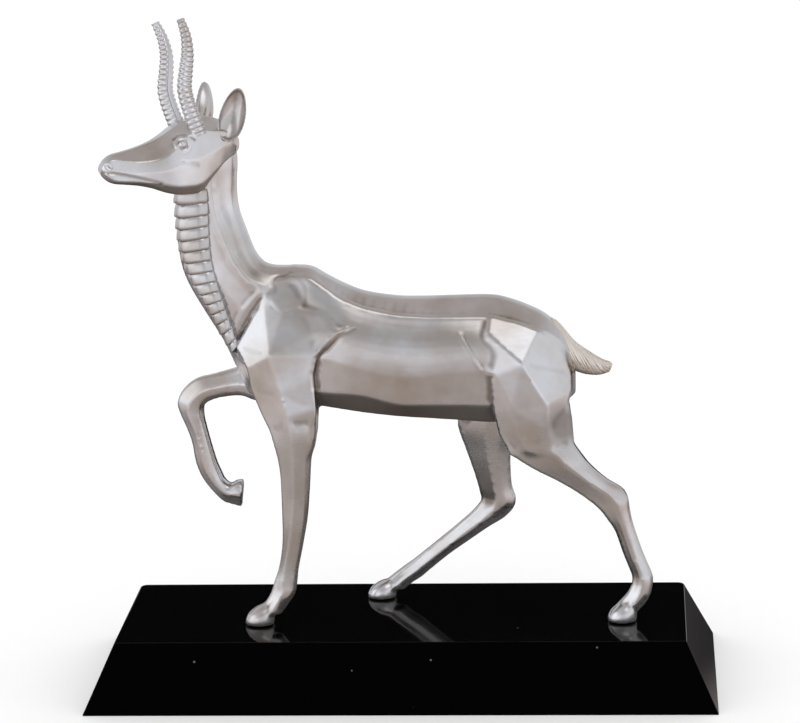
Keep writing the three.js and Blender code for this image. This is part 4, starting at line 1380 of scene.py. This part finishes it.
# %% [markdown]
# ## The plinth
# The plinth is a low block of polished black marble with four sloping sides. Its arrises are
# worn to a narrow bevel that catches the light, and its two far upper corners are rounded.

# %% Plinth shape
END_SLOPE_RUN = 17.7
SIDE_SLOPE_RUN = 16.5
ARRIS = 0.5
FAR_CORNER_ROUND = 4
CORNER_STEPS = 6


def plinth_block():
    """The block inside the frame's box for it. A far corner of its top is an arc of points, and
    each point of the top has an owner, the corner of the foot below it."""
    low, high = np.array(plinth_low), np.array(plinth_high)
    run = np.array([END_SLOPE_RUN, SIDE_SLOPE_RUN]) * MM
    radius = FAR_CORNER_ROUND * MM
    bottom, top, owners = [], [], []
    for corner, sign in enumerate([(-1, -1), (1, -1), (1, 1), (-1, 1)]):
        sign = np.array(sign)
        bottom.append((*(high[:2] * sign), low[2]))
        if sign[1] < 0:
            turns = [None]
        else:
            turns = np.linspace(0, math.pi / 2, CORNER_STEPS + 1)[::int(sign[0])]
        for turn in turns:
            if turn is None:
                inset = np.zeros(2)
            else:
                inset = radius * (1 - np.array([math.cos(turn), math.sin(turn)]))
            top.append((*((high[:2] - run - inset) * sign), high[2]))
            owners.append(corner)
    count = len(top)
    faces = [(3, 2, 1, 0), tuple(range(4, 4 + count))]
    for i in range(count):
        j = (i + 1) % count
        ends = (owners[i],) if owners[i] == owners[j] else (owners[i], owners[j])
        faces.append((*ends, 4 + j, 4 + i))
    block = add_mesh("marble_plinth", bottom + top, [], faces)
    bevel = block.modifiers.new("arris", "BEVEL")
    bevel.width = ARRIS * MM
    bevel.segments = 2
    bevel.limit_method = "ANGLE"
    bevel.angle_limit = math.radians(35)
    return plain_mesh(block)


STONE_BLACK = (0.0006, 0.0006, 0.0006, 1)
SPECK_GREY = (0.12, 0.12, 0.12, 1)
SPECK_SCALE = 45
SPECK_SIZES = (0.035, 0.02)
SMUDGE_SCALE = 18
STONE_POLISH = (0.03, 0.1)


def black_marble():
    """Polished black stone with faint smudges and a few pale specks."""
    material, tree = new_material("black_marble")
    place = object_place(tree)
    specks = add_node(tree, "ShaderNodeTexVoronoi", {"Vector": place, "Scale": SPECK_SCALE},
                      feature="F1")
    pale = ranged(tree, specks.outputs["Distance"], *SPECK_SIZES)
    smudges = noise(tree, place, SMUDGE_SCALE, 4)
    show(tree, add_node(tree, "ShaderNodeBsdfPrincipled", {
        "Base Color": blended(tree, pale, STONE_BLACK, SPECK_GREY),
        "Roughness": ranged(tree, smudges, 0, 1, *STONE_POLISH),
        "Specular IOR Level": 0.5,
        "Specular Tint": (0.03, 0.03, 0.03, 1)}))
    return material


block = plinth_block()
block.data.materials.append(black_marble())
print("plinth", len(block.data.polygons), "faces")

# %% [markdown]
# ## Into the frame
# Every piece rides on the one body. The pieces of the figure stand for the casting, and the block
# stands for the plinth.

# %% Ride, replace and finish
for piece in figure_pieces:
    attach(piece, "root")
    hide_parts("antelope")
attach(block, "root")
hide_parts("plinth")
